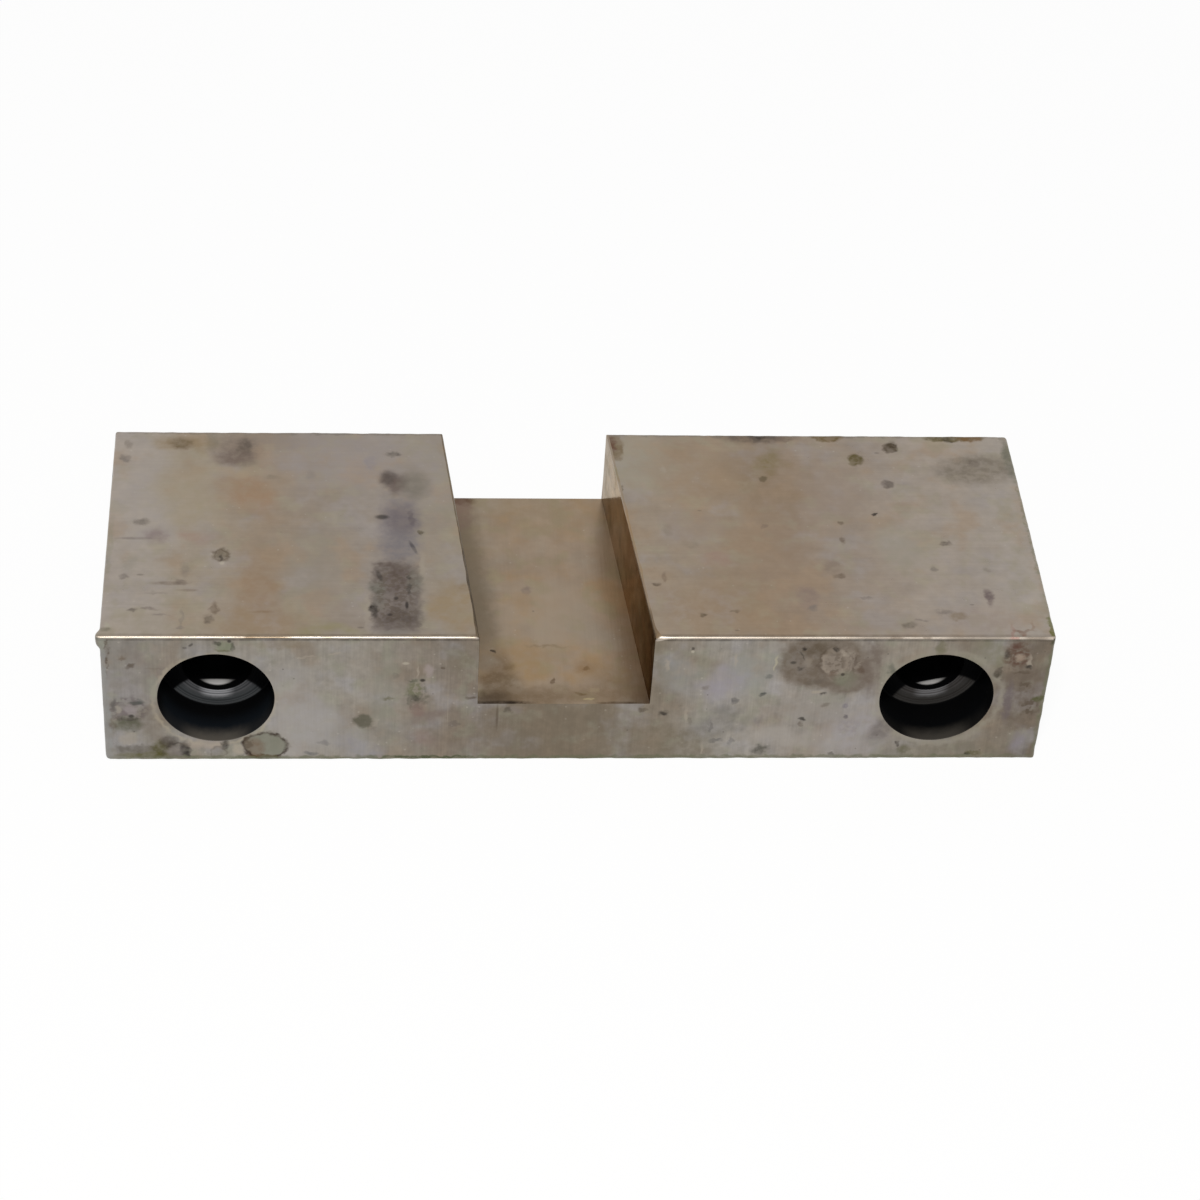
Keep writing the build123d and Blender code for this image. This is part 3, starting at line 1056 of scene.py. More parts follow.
FRONT_STAINS_AND_PAINTED_SHADE = (
    # broad tints
    on_front(-43.0, 9.0, 4.2, 9.0, (162, 157, 154), 0.65, **LOOSE),
    on_front(-39.0, 5.5, 5.5, 4.0, (158, 154, 151), 0.5, **LOOSE),
    on_front(-33.5, 2.2, 3.0, 2.0, (146, 143, 148), 0.6, **LOOSE),
    on_front(-29.0, 12.0, 2.6, 8.0, (139, 136, 124), 0.5, **LOOSE),
    on_front(-19.0, 22.0, 3.6, 3.0, (115, 106, 89), 0.6, **LOOSE),
    on_front(-22.8, 8.6, 3.0, 1.4, (122, 108, 101), 0.6, **LOOSE),
    on_front(-23.0, 4.2, 2.4, 1.4, (136, 116, 108), 0.5, **LOOSE),
    on_front(-3.0, 5.6, 14.0, 7.0, (115, 104, 89), 0.6, soft=0.6),
    on_front(15.0, 4.0, 5.0, 4.5, (113, 104, 87), 0.65, **LOOSE),
    on_front(12.4, 19.0, 1.8, 5.5, (124, 116, 99), 0.6, **LOOSE),
    on_front(22.4, 7.4, 3.8, 2.8, (117, 113, 106), 0.65, **LOOSE),
    on_front(22.6, 16.0, 3.0, 3.4, (149, 143, 150), 0.7, **LOOSE),
    on_front(26.5, 17.0, 3.0, 5.0, (147, 148, 142), 0.5, **LOOSE),
    on_front(15.0, 17.0, 3.0, 3.0, (137, 137, 135), 0.5, **LOOSE),
    on_front(33.5, 4.2, 6.0, 2.2, (158, 151, 143), 0.6, **LOOSE),
    on_front(43.0, 6.0, 4.6, 5.5, (158, 153, 154), 0.7, **LOOSE),
    on_front(35.0, 10.5, 5.0, 2.6, (149, 143, 136), 0.5, **LOOSE),
    on_front(-66.0, 17.0, 4.0, 6.0, (134, 126, 121), 0.4, **LOOSE),
    on_front(-64.0, 8.0, 2.4, 4.5, (124, 113, 100), 0.6, **LOOSE),
    on_front(68.3, 13.0, 3.6, 9.5, (103, 91, 80), 0.75, **LOOSE),
    on_front(69.0, 4.6, 2.0, 2.2, (136, 130, 135), 0.75, **LOOSE),
    # painted shade: darker low on the right part of the front, standing in for the floor's shadow that it
    # reflects
    on_front(57.0, 2.2, 9.0, 2.2, (116, 110, 96), 0.6, **LOOSE),
    on_front(62.0, 22.0, 2.5, 2.6, (125, 121, 100), 0.6, **LOOSE),
    # the lighter rings round the two counterbores
    on_front(-55.4, 12.3, 9.15, 9.15, (172, 162, 142), 0.5, rim=1.0, fill=0.0, soft=0.055, break_up=0.5),
    on_front(55.6, 12.8, 9.4, 9.4, (148, 142, 128), 0.6, rim=1.0, fill=0.0, soft=0.08, break_up=0.5),
    on_front(47.4, 6.6, 1.6, 3.6, (110, 103, 98), 0.85, turn=-35.0, soft=0.6),
    on_front(66.2, 12.0, 0.7, 4.0, (104, 94, 95), 0.7),
    # the blotch right of the slot
    on_front(36.6, 20.0, 6.6, 5.0, (104, 92, 79), 0.9, soft=0.16, square=0.35, break_up=0.25),
    on_front(40.5, 17.6, 4.2, 4.0, (108, 97, 86), 0.85, soft=0.16, break_up=0.25),
    on_front(44.4, 19.5, 1.6, 5.4, (109, 97, 88), 0.75),
    on_front(39.6, 19.8, 3.0, 3.4, (142, 131, 119), 0.7, soft=0.3, **GRAINS),
    on_front(38.6, 20.0, 1.8, 2.6, (156, 144, 130), 0.55, rim=1.0, fill=0.0, soft=0.3),
    on_front(38.6, 20.2, 2.4, 3.1, (84, 72, 62), 0.5, rim=1.0, fill=0.0, soft=0.14, break_up=0.6),
    on_front(41.6, 19.6, 0.3, 1.8, (84, 72, 62), 0.5),
    on_front(40.5, 16.6, 1.6, 1.5, (122, 124, 106), 0.65, soft=0.6),
    on_front(34.4, 20.0, 0.6, 1.2, CREAM, 0.35),
    on_front(40.4, 21.9, 0.9, 0.4, CREAM, 0.6),
    on_front(36.0, 22.7, 3.0, 1.1, (84, 72, 56), 0.45),
    on_front(32.2, 20.0, 0.45, 0.3, SOOT, 0.6, **DRAWN),
    on_front(33.3, 18.8, 0.45, 0.4, PIT, 0.9),
    on_front(33.5, 22.8, 0.4, 0.35, SOOT, 0.85),
    on_front(33.4, 21.4, 0.2, 1.1, PIT, 0.7, turn=30.0),
    on_front(38.8, 22.7, 0.6, 0.5, SOOT, 0.8),
    on_front(36.0, 16.1, 1.4, 0.6, (100, 92, 83), 0.5),
    on_front(40.0, 17.6, 0.3, 0.3, PIT, 0.8, **DRAWN),
    on_front(38.5, 17.7, 0.5, 0.5, (96, 78, 66), 0.6),
    on_front(42.8, 18.6, 0.4, 0.6, (90, 74, 62), 0.65),
    on_front(37.2, 13.6, 0.42, 0.36, SOOT, 0.85),
    on_front(36.3, 13.9, 0.8, 0.35, CREAM, 0.7),
    # the red-brown curl near the right end
    on_front(66.6, 21.4, 2.1, 2.5, (98, 80, 68), 0.8, soft=0.4, **GRAINS),
    on_front(66.0, 23.2, 1.0, 0.8, (88, 60, 50), 0.75),
    on_front(66.8, 21.0, 0.8, 0.7, (158, 140, 124), 0.7),
    on_front(66.9, 20.9, 1.3, 1.1, (92, 66, 56), 0.6, rim=1.0, fill=0.0, soft=0.25),
    on_front(68.4, 20.2, 0.4, 1.3, CREAM, 0.75, turn=10.0),
    on_front(64.8, 21.7, 0.45, 0.7, PIT, 0.8),
    on_front(68.4, 19.0, 0.45, 0.4, SOOT, 0.85),
    on_front(67.4, 18.0, 1.3, 0.3, UMBER, 0.75),
    on_front(64.0, 18.0, 0.65, 0.9, (64, 56, 47), 0.8),
    on_front(68.6, 15.0, 1.2, 1.2, UMBER, 0.7, **GRAINS),
    on_front(69.6, 11.0, 1.4, 1.6, UMBER, 0.75, **GRAINS),
    # stains at the left end
    on_front(-68.7, 20.7, 0.6, 0.5, BROWN, 0.7),
    on_front(-67.7, 19.2, 0.8, 0.3, UMBER, 0.75, turn=20.0),
    on_front(-64.0, 18.8, 1.4, 0.2, BROWN, 0.3),
    on_front(-68.2, 10.4, 2.2, 2.0, (94, 84, 84), 0.8, rim=0.7, fill=0.35, **GRAINS),
    on_front(-68.0, 10.4, 1.1, 0.9, (152, 142, 142), 0.6, break_up=0.6),
    on_front(-66.9, 11.8, 1.0, 0.5, SOOT, 0.75),
    on_front(-67.8, 9.1, 0.42, 0.35, SOOT, 0.75, **DRAWN),
    on_front(-70.3, 11.4, 0.4, 1.4, (96, 92, 88), 0.7),
    on_front(-69.7, 10.4, 0.35, 0.9, CREAM, 0.5),
    on_front(-69.0, 9.6, 0.7, 0.5, (108, 96, 98), 0.55),
    on_front(-66.8, 12.0, 1.1, 0.6, (86, 88, 84), 0.75),
    on_front(-64.4, 15.0, 0.6, 2.8, (140, 139, 126), 0.6),
    on_front(-68.3, 7.4, 1.9, 1.4, (92, 91, 76), 0.9, rim=0.5, fill=1.0),
    on_front(-68.3, 8.5, 1.6, 0.35, PIT, 0.45),
    on_front(-70.9, 7.6, 0.6, 1.1, UMBER, 0.55),
    on_front(-68.4, 4.6, 1.3, 1.3, CREAM, 0.55),
    on_front(-67.0, 2.3, 3.4, 0.8, (96, 90, 80), 0.75),
    on_front(-65.5, 1.1, 4.4, 0.6, OLIVE, 0.9),
    on_front(-63.6, 2.4, 1.5, 1.5, (80, 76, 40), 0.85),
    on_front(-62.2, 3.7, 1.3, 1.3, (76, 68, 62), 0.75, turn=-20.0, soft=0.6),
    on_front(-61.2, 1.7, 2.0, 1.9, PIT, 0.6, rim=1.0, fill=0.4, soft=0.2, break_up=0.8),
    on_front(-59.8, 2.2, 0.75, 1.6, SOOT, 0.9),
    on_front(-61.3, 1.7, 1.3, 1.2, (122, 114, 109), 0.8),
    on_front(-56.6, 3.3, 3.2, 0.9, (160, 148, 135), 0.7),
    on_front(-53.7, 3.2, 0.6, 0.9, SOOT, 0.85),
    on_front(-54.8, 1.6, 1.2, 1.1, (102, 95, 84), 0.55, rim=1.0, fill=0.4, soft=0.25),
    on_front(-51.8, 2.2, 0.7, 1.1, (168, 158, 142), 0.7),
    # the ring stain
    on_front(-47.7, 3.0, 3.2, 2.6, (124, 124, 110), 0.85, soft=0.1, break_up=0.15),
    on_front(-49.3, 2.6, 1.5, 1.9, (116, 96, 80), 0.75),
    on_front(-47.7, 3.0, 3.25, 2.6, (56, 44, 36), 0.95, rim=1.0, fill=0.0, soft=0.15, break_up=0.5),
    on_front(-50.2, 3.4, 0.7, 1.3, UMBER, 0.6, **GRAINS),
    on_front(-48.2, 0.7, 2.4, 0.5, (82, 60, 33), 0.85),
    # other marks left of the slot
    on_front(-53.7, 23.2, 1.35, 1.0, (122, 127, 104), 0.8),
    on_front(-54.6, 23.7, 0.65, 0.45, SOOT, 0.85),
    on_front(-52.8, 24.2, 0.3, 0.3, SOOT, 0.7, **DRAWN),
    on_front(-52.3, 23.1, 0.35, 0.9, (50, 53, 40), 0.5),
    on_front(-53.9, 22.4, 1.1, 0.25, OLIVE, 0.75),
    on_front(-58.7, 23.4, 0.35, 0.3, SOOT, 0.7),
    on_front(-59.5, 22.8, 0.35, 0.25, SOOT, 0.65),
    on_front(-45.0, 23.6, 4.0, 0.9, (127, 113, 93), 0.6),
    on_front(-32.7, 8.1, 1.4, 1.4, (98, 94, 81), 0.95, soft=0.3, break_up=0.15),
    on_front(-31.1, 7.9, 0.5, 0.9, CREAM, 0.4),
    on_front(-25.0, 14.6, 1.3, 1.4, (134, 132, 105), 0.75, **GRAINS),
    on_front(-25.0, 12.8, 0.7, 0.6, PIT, 0.85),
    on_front(-24.8, 13.2, 1.4, 2.6, (74, 75, 61), 0.8, rim=0.5, fill=0.5, soft=0.35, **GRAINS),
    on_front(-24.6, 10.6, 1.3, 1.5, (128, 109, 101), 0.7),
    on_front(-23.9, 16.4, 0.4, 0.3, SOOT, 0.8, **DRAWN),
    on_front(-25.3, 16.4, 0.9, 0.25, (88, 88, 74), 0.75),
    on_front(-23.0, 18.3, 0.7, 1.3, (160, 148, 144), 0.65),
    on_front(-26.5, 19.8, 0.5, 0.25, CHALK, 0.45, **DRAWN),
    on_front(-24.7, 18.2, 0.18, 1.4, CREAM, 0.7),
    on_front(-20.8, 18.9, 0.45, 0.45, UMBER, 0.8),
    on_front(-28.0, 17.3, 0.45, 0.7, (90, 90, 84), 0.35),
    on_front(-19.95, 12.5, 0.15, 5.5, CREAM, 0.35, breaks=Break.LINES, break_up=0.8, outline=Outline.DRAWN),
    on_front(-16.5, 12.8, 0.7, 0.25, UMBER, 0.7),
    on_front(-19.0, 7.6, 1.0, 0.4, (94, 86, 82), 0.45),
    on_front(-29.0, 12.7, 0.8, 0.25, OLIVE, 0.6),
    on_front(-38.9, 3.6, 0.8, 0.4, (102, 99, 98), 0.45),
    on_front(-40.7, 1.4, 0.9, 0.45, (84, 86, 86), 0.8),
    on_front(-37.0, 21.7, 1.0, 0.2, CREAM, 0.55),
    on_front(-41.5, 21.0, 1.4, 0.2, CREAM, 0.5),
    on_front(-10.8, 10.2, 0.6, 0.5, PIT, 0.55),
    on_front(-9.4, 10.4, 1.0, 0.8, LILAC, 0.2),
    on_front(-12.4, 9.0, 0.2, 2.4, UMBER, 0.6, **DRAWN),
    # marks right of the slot
    on_front(9.9, 10.3, 0.8, 0.4, UMBER, 0.75),
    on_front(13.0, 9.7, 0.65, 0.55, SOOT, 0.85, soft=0.6),
    on_front(16.7, 22.8, 0.25, 0.3, PIT, 0.7, **DRAWN),
    on_front(16.7, 22.2, 0.25, 0.25, CHALK, 0.5, **DRAWN),
    on_front(12.9, 19.6, 0.4, 1.2, CREAM, 0.6),
    on_front(23.3, 20.4, 0.2, 1.0, CREAM, 0.65),
    on_front(29.5, 20.0, 0.25, 1.4, (178, 170, 146), 0.7),
    on_front(16.5, 9.0, 0.4, 1.2, CREAM, 0.6),
    on_front(17.2, 8.0, 0.4, 0.7, (104, 96, 86), 0.55),
    on_front(28.6, 17.2, 0.5, 0.45, (98, 98, 94), 0.6),
    on_front(28.1, 13.5, 0.5, 0.4, (68, 70, 68), 0.8),
    on_front(23.9, 12.2, 0.45, 0.6, (88, 86, 86), 0.75),
    on_front(19.3, 14.8, 0.5, 0.5, ASH, 0.7),
    on_front(20.6, 6.8, 0.3, 1.2, (92, 88, 84), 0.7),
    on_front(19.4, 2.2, 0.25, 1.3, CREAM, 0.55),
    on_front(21.5, 4.0, 1.0, 0.35, (92, 90, 88), 0.75),
    on_front(24.0, 4.0, 0.35, 0.8, (92, 90, 88), 0.7),
    on_front(28.6, 2.0, 1.2, 1.1, (78, 76, 68), 0.8),
    on_front(34.6, 8.3, 0.5, 0.4, (60, 56, 51), 0.85),
    on_front(34.3, 7.4, 0.4, 0.35, UMBER, 0.6),
    on_front(27.8, 8.2, 0.8, 0.9, (112, 106, 110), 0.3),
    on_front(38.0, 11.5, 0.8, 0.35, UMBER, 0.4),
    on_front(41.0, 11.2, 0.5, 0.5, (108, 102, 110), 0.75),
    on_front(41.2, 8.7, 0.4, 0.4, (82, 76, 80), 0.85),
    on_front(42.3, 6.6, 1.6, 1.8, (124, 116, 124), 0.2, **GRAINS),
    on_front(39.8, 1.1, 0.35, 0.35, (106, 101, 94), 0.8),
    on_front(47.3, 18.5, 0.6, 1.2, (80, 84, 74), 0.9, soft=0.6),
    on_front(52.0, 23.2, 1.1, 1.5, (150, 140, 126), 0.4),
    on_front(54.5, 23.0, 0.7, 1.6, (104, 100, 75), 0.65),
    on_front(50.0, 3.2, 0.35, 0.6, PIT, 0.8),
    on_front(51.2, 2.0, 0.9, 0.9, (96, 92, 70), 0.7),
    on_front(61.3, 1.0, 0.45, 0.35, SOOT, 0.85),
    on_front(62.3, 1.3, 1.3, 0.4, OLIVE, 0.8),
    # along the edges
    on_front(0.0, 24.6, 72.0, 0.28, PIT, 0.6, square=1.0, soft=0.5, outline=Outline.DRAWN),
    on_front(0.0, 0.1, 72.0, 0.75, (100, 102, 80), 0.75, square=1.0, soft=0.35, break_up=0.3),
    on_front(-23.0, 0.6, 6.5, 0.25, (70, 76, 52), 0.8),
    on_front(-71.6, 11.0, 0.6, 13.0, (146, 146, 144), 0.6, square=0.5, break_up=0.4),
    on_front(-71.6, 23.6, 0.5, 1.6, (150, 154, 138), 0.3),
    on_front(-70.95, 21.5, 0.25, 3.4, UMBER, 0.65, **GRAINS),
    on_front(71.8, 12.0, 0.5, 13.0, (106, 106, 84), 0.75, square=0.5, break_up=0.5),
    on_front(71.0, 12.6, 0.9, 0.7, (74, 78, 38), 0.8),
    on_front(71.8, 24.4, 0.6, 0.7, (66, 69, 50), 0.85),
)

SLOT_STAINS_AND_PAINTED_LIGHT = (
    # painted shade: darker strips of the floor along both walls, which shade it and darken its reflection,
    # partly dirt along the left wall
    in_slot(-16.8, 6.0, 3.7, 22.0, (113, 101, 84), 0.9, square=0.8, soft=0.5, turn=-5.0, break_up=0.1),
    in_slot(8.6, 0.0, 2.4, 27.0, (130, 113, 93), 0.3, square=1.0, soft=0.7, turn=-5.0, break_up=0.1),
    in_slot(-4.0, 12.0, 9.0, 9.0, (142, 124, 105), 0.4, **LOOSE),
    in_slot(-3.0, -5.0, 6.5, 8.0, (153, 138, 120), 0.7, **LOOSE),
    in_slot(-8.5, -15.5, 3.8, 4.5, (149, 124, 90), 0.7, **LOOSE),
    in_slot(3.2, -17.6, 3.2, 2.8, (150, 126, 94), 0.7, **LOOSE),
    in_slot(-12.3, -17.5, 1.6, 3.6, (108, 86, 58), 0.75, **LOOSE),
    in_slot(-8.0, -23.6, 6.0, 1.8, (104, 87, 68), 0.75, soft=0.7),
    in_slot(-5.0, 21.0, 11.0, 5.0, (138, 121, 97), 0.5, **LOOSE),
    in_slot(-11.8, -20.6, 2.8, 4.2, (104, 87, 67), 0.8, soft=0.6),
    in_slot(-4.0, -23.2, 10.0, 2.2, (120, 102, 80), 0.6, soft=0.6),
    in_slot(5.4, -21.6, 3.6, 4.0, (124, 104, 80), 0.55, soft=0.6),
    in_slot(-13.2, -23.8, 2.8, 1.6, (70, 56, 42), 0.7, soft=0.7, break_up=0.1),
    in_slot(-12.7, -13.0, 0.35, 0.35, (56, 47, 41), 0.8),
    in_slot(-12.9, -12.4, 0.4, 0.25, (140, 128, 112), 0.2),
    in_slot(1.6, -16.8, 0.5, 0.4, (100, 78, 54), 0.75),
    in_slot(1.2, -16.6, 1.6, 1.5, (128, 102, 72), 0.5, soft=0.6),
    in_slot(-3.6, -19.8, 0.4, 0.7, (92, 74, 56), 0.85),
    in_slot(-6.8, 1.7, 0.8, 1.0, (122, 108, 98), 0.7),
    in_slot(-4.3, -11.7, 3.2, 0.3, (126, 110, 86), 0.65, soft=0.5),
    in_slot(0.5, -22.8, 0.8, 0.3, (96, 76, 50), 0.6),
    in_slot(2.5, -21.8, 0.7, 0.5, (156, 142, 114), 0.4),
    # painted highlight: a small light spot on the floor's front edge
    in_slot(1.8, -24.1, 0.7, 0.25, (190, 174, 132), 0.65),
    in_slot(-16.8, 24.2, 2.2, 1.0, (78, 50, 31), 0.85, soft=0.5),
    in_slot(-16.5, 21.0, 1.6, 4.0, (118, 97, 88), 0.6, soft=0.5),
    in_slot(-12.0, -24.8, 4.4, 0.5, (34, 26, 19), 0.9, soft=0.5, outline=Outline.DRAWN),
    in_slot(6.2, -24.85, 3.0, 0.35, (66, 52, 38), 0.8, soft=0.5, outline=Outline.DRAWN),
    # the two slot edges of the top, darkened: painted reflection of the dark slot in their breaks
    StainAndPaintedLight(
        (-17.7, 0.0, 25.0), (1.5, 27.0, 1.2), (92, 80, 64), 0.7, square=1.0, soft=0.1, turn=-5.0, break_up=0.2
    ),
    StainAndPaintedLight((-16.2, -12.0, 24.8), (1.3, 13.0, 1.2), (58, 47, 34), 0.75, square=0.3, soft=0.6, turn=-5.0),
    StainAndPaintedLight((10.6, -22.0, 24.8), (1.2, 3.6, 1.0), (96, 82, 64), 0.7, break_up=0.3),
)

EDGE_STAINS_AND_PAINTED_HIGHLIGHT = (
    # painted highlight: lighter and darker stretches where the key lamp's highlight on the front edges shows
    # stronger or weaker, partly stains
    on_land(-47.0, -25.0, 3.2, 2.0, (128, 112, 92), 0.85),
    on_land(-38.2, -25.0, 0.8, 2.0, (150, 138, 122), 0.6),
    on_land(-49.8, -25.0, 0.7, 2.0, (110, 94, 76), 0.7),
    on_land(44.8, -25.0, 4.0, 2.0, (140, 130, 120), 0.75),
    on_land(47.5, -25.0, 0.9, 2.0, (120, 108, 96), 0.6),
    on_land(52.2, -25.0, 0.7, 2.0, (132, 120, 108), 0.7),
    on_land(60.0, -25.0, 5.0, 2.0, (138, 128, 118), 0.75),
    on_land(65.6, -25.0, 0.7, 2.0, (160, 116, 108), 0.55),
    on_land(69.0, -25.0, 1.8, 2.0, (132, 120, 108), 0.7),
)


class Surface(Enum):
    """The kinds of surface on the block, in the order of its material slots."""

    FACE = 0
    LAND = 1
    FLOOR = 2
    WALL = 3
    BORE = 4
    EDGE = 5


# --- The bar ---


@dataclass(frozen=True)
class BarEdge:
    """One edge of the bar in millimetres, with the size of its break and how uneven that break is."""

    start: Vector
    end: Vector
    size: float
    waver: float


def smooth_step(value: np.ndarray) -> np.ndarray:
    """A smooth step from 0 at nought to 1 at one."""
    held = np.clip(value, 0.0, 1.0)
    return held * held * (3 - 2 * held)


@dataclass(frozen=True)
class EdgeKnock:
    """A place where one edge of the bar is worn wider, in the block's millimetres."""

    edge: str
    at: Point
    reach: float
    wider: float


@dataclass
class SlottedBar:
    """The ground bar with its skewed cross slot and broken edges. All sizes are in millimetres."""

    low: Vector
    high: Vector
    slot_floor: float
    slot_middle: float
    slot_width: float = 26.4
    slot_skew: float = 5.0
    upright_break: float = 0.6
    outline_break: float = 0.35
    front_top_break: float = 0.28
    root_radius: float = 0.2
    mouth_break: float = 0.12
    run: float = 0.7
    waver: float = 0.25
    straight_waver: float = 0.08
    slot_waver: float = 0.1
    knocks: tuple[EdgeKnock, ...] = (
        EdgeKnock("left_slot_top", (-15.6, -25.0, 25.0), 2.6, 0.4),
        EdgeKnock("left_slot_top", (-15.9, -21.6, 25.0), 1.0, 0.4),
        EdgeKnock("left_slot_top", (-16.6, -12.0, 25.0), 1.4, 0.3),
        EdgeKnock("right_slot_top", (10.9, -25.0, 25.0), 1.7, 1.5),
        EdgeKnock("right_slot_top", (9.6, -9.0, 25.0), 1.2, 0.5),
        EdgeKnock("right_slot_top", (8.3, 6.0, 25.0), 0.9, 0.5),
        EdgeKnock("right_mouth_front", (10.9, -25.0, 25.0), 1.2, 1.6),
        EdgeKnock("left_mouth_front", (-15.5, -25.0, 25.0), 1.0, 1.6),
        EdgeKnock("right_front_top", (71.0, -25.0, 25.0), 1.5, 0.6),
        EdgeKnock("left_front_top", (-46.5, -25.0, 25.0), 1.6, -0.3),
        EdgeKnock("left_top", (-72.0, 14.0, 25.0), 1.6, 0.6),
        EdgeKnock("right_top", (72.0, -20.0, 25.0), 1.8, 0.6),
    )
    fade_width: float = 2.4
    waver_swell: float = 1.6
    broad_waver: float = 0.45
    fine_waver: float = 1.3
    fine_share: float = 0.6
    least_change: float = -0.6
    strip_width: float = 1.2
    strip_length: float = 2.0
    bruise_push: float = 0.6
    bruise_side: float = 2.4
    bruise_depth: tuple[float, float] = (0.9, 2.3)
    bruise_height: tuple[float, float] = (1.5, 2.9)
    bruise_reach: float = 4.4
    side_cuts: tuple[float, ...] = (0.7, 1.1, 1.5, 1.9, 2.4, 3.2)
    depth_cuts: tuple[float, ...] = (0.6, 0.9, 1.2, 1.5, 1.8, 2.1, 2.5, 3.1, 4.0)
    drop_cuts: tuple[float, ...] = (0.6, 1.0, 1.4, 1.8, 2.1, 2.4, 2.7, 3.1, 3.8)

    def corners(self, y: float) -> list[Vector]:
        """The eight corners of the bar's section at y, going round from the lower left."""
        lean = -y * math.tan(math.radians(self.slot_skew))
        left = self.slot_middle + lean - self.slot_width / 2
        right = self.slot_middle + lean + self.slot_width / 2
        profile = [
            (self.low.x, self.low.z),
            (self.high.x, self.low.z),
            (self.high.x, self.high.z),
            (right, self.high.z),
            (right, self.slot_floor),
            (left, self.slot_floor),
            (left, self.high.z),
            (self.low.x, self.high.z),
        ]
        return [Vector((x, y, z)) for x, z in profile]

    def edges(self) -> dict[str, BarEdge]:
        """Every edge of the bar by name. The sills at the two ends of the slot's floor stay sharp."""
        outline, root, slot = self.outline_break, self.root_radius, self.slot_waver
        along = {
            "left_under": (outline, self.waver),
            "right_under": (outline, self.waver),
            "right_top": (outline, self.waver),
            "right_slot_top": (outline, slot),
            "right_root": (root, 0.0),
            "left_root": (root, 0.0),
            "left_slot_top": (outline, slot),
            "left_top": (outline, self.waver),
        }
        around = {
            "under": (outline, self.waver),
            "right_upright": (self.upright_break, self.waver),
            "right_top": (outline, self.waver),
            "right_mouth": (self.mouth_break, self.waver),
            "sill": (0.0, 0.0),
            "left_mouth": (self.mouth_break, self.waver),
            "left_top": (outline, self.waver),
            "left_upright": (self.upright_break, self.waver),
        }
        front, back = self.corners(self.low.y), self.corners(self.high.y)
        found = {name: BarEdge(a, b, *sizes) for (name, sizes), a, b in zip(along.items(), front, back)}
        for side, ring in (("front", front), ("back", back)):
            for i, (name, sizes) in enumerate(around.items()):
                if side == "front" and name in ("left_top", "right_top"):
                    sizes = (self.front_top_break, self.straight_waver)
                label = name.replace("_top", f"_{side}_top") if "_top" in name else f"{name}_{side}"
                found[label] = BarEdge(ring[i], ring[(i + 1) % 8], *sizes)
        return found

    def build(self) -> bpy.types.Mesh:
        """Makes the bar with its broken and worn edges, before its holes are bored.

        Returns:
            The mesh in millimetres.
        """
        bar = placed("bar_blank", self._sharp())
        bevel = bar.modifiers.new("edge_breaks", "BEVEL")
        bevel.limit_method = "WEIGHT"
        bevel.width = self.upright_break
        bevel.segments = 3
        bevel.use_clamp_overlap = False
        bpy.context.view_layer.update()
        broken = bpy.data.meshes.new_from_object(bar.evaluated_get(bpy.context.evaluated_depsgraph_get()))
        bpy.data.objects.remove(bar)
        for cut in (self._cut_breaks, self._cut_bruise):
            with opened(broken) as bm:
                cut(bm)
        self._wear(broken)
        return broken

    def _sharp(self) -> bpy.types.Mesh:
        """The bar with sharp edges, each carrying the size of its break.

        Returns:
            The mesh in millimetres.
        """
        mesh = bpy.data.meshes.new("bar_blank")
        with opened(mesh) as bm:
            weight = bm.edges.layers.float.new("bevel_weight_edge")
            front = [bm.verts.new(point) for point in self.corners(self.low.y)]
            back = [bm.verts.new(point) for point in self.corners(self.high.y)]
            bm.faces.new(front)
            bm.faces.new(back[::-1])
            for i in range(8):
                j = (i + 1) % 8
                bm.faces.new((front[i], back[i], back[j], front[j]))
            bm.normal_update()
            for named in self.edges().values():
                ends = {tuple(round(c, 4) for c in named.start), tuple(round(c, 4) for c in named.end)}
                for edge in bm.edges:
                    if {tuple(round(c, 4) for c in v.co) for v in edge.verts} == ends:
                        edge[weight] = named.size / self.upright_break
        return mesh

    @staticmethod
    def _cut(
        bm: bmesh.types.BMesh, faces: list[bmesh.types.BMFace], axis: int, level: float
    ) -> list[bmesh.types.BMFace]:
        """Cuts those faces that cross a level.

        Args:
            bm: The mesh, changed in place.
            faces: The faces that may be cut.
            axis: The axis that the cut stands across.
            level: Where along it the cut is.

        Returns:
            All of those faces after the cut.
        """
        clear, joined = 1e-4, 1e-5
        along = Vector([1.0 if k == axis else 0.0 for k in range(3)])
        crossing = [f for f in faces if min(v.co[axis] for v in f.verts) < level - clear]
        crossing = [f for f in crossing if max(v.co[axis] for v in f.verts) > level + clear]
        if not crossing:
            return faces
        parts = {e for f in crossing for e in f.edges} | {v for f in crossing for v in f.verts}
        made = bmesh.ops.bisect_plane(
            bm, geom=[*crossing, *parts], dist=joined, plane_co=along * level, plane_no=along
        )
        halves = [g for g in made["geom"] if isinstance(g, bmesh.types.BMFace)]
        return list({f for f in [*faces, *halves] if f.is_valid})

    def _cut_breaks(self, bm: bmesh.types.BMesh) -> None:
        """Cuts the long strips of the breaks into short runs, so that wear can shape them."""
        bm.normal_update()
        for axis in range(3):
            strips = []
            for face in bm.faces:
                longest = max(face.edges, key=lambda e: e.calc_length())
                length = longest.calc_length()
                line = (longest.verts[0].co - longest.verts[1].co).normalized()
                narrow = face.calc_area() < self.strip_width * length and length > self.strip_length
                if narrow and abs(line[axis]) > 0.9:
                    strips.append(face)
            low, high = self.low[axis], self.high[axis]
            count = round((high - low) / self.run)
            for i in range(1, count):
                strips = self._cut(bm, strips, axis, low + (high - low) * i / count)

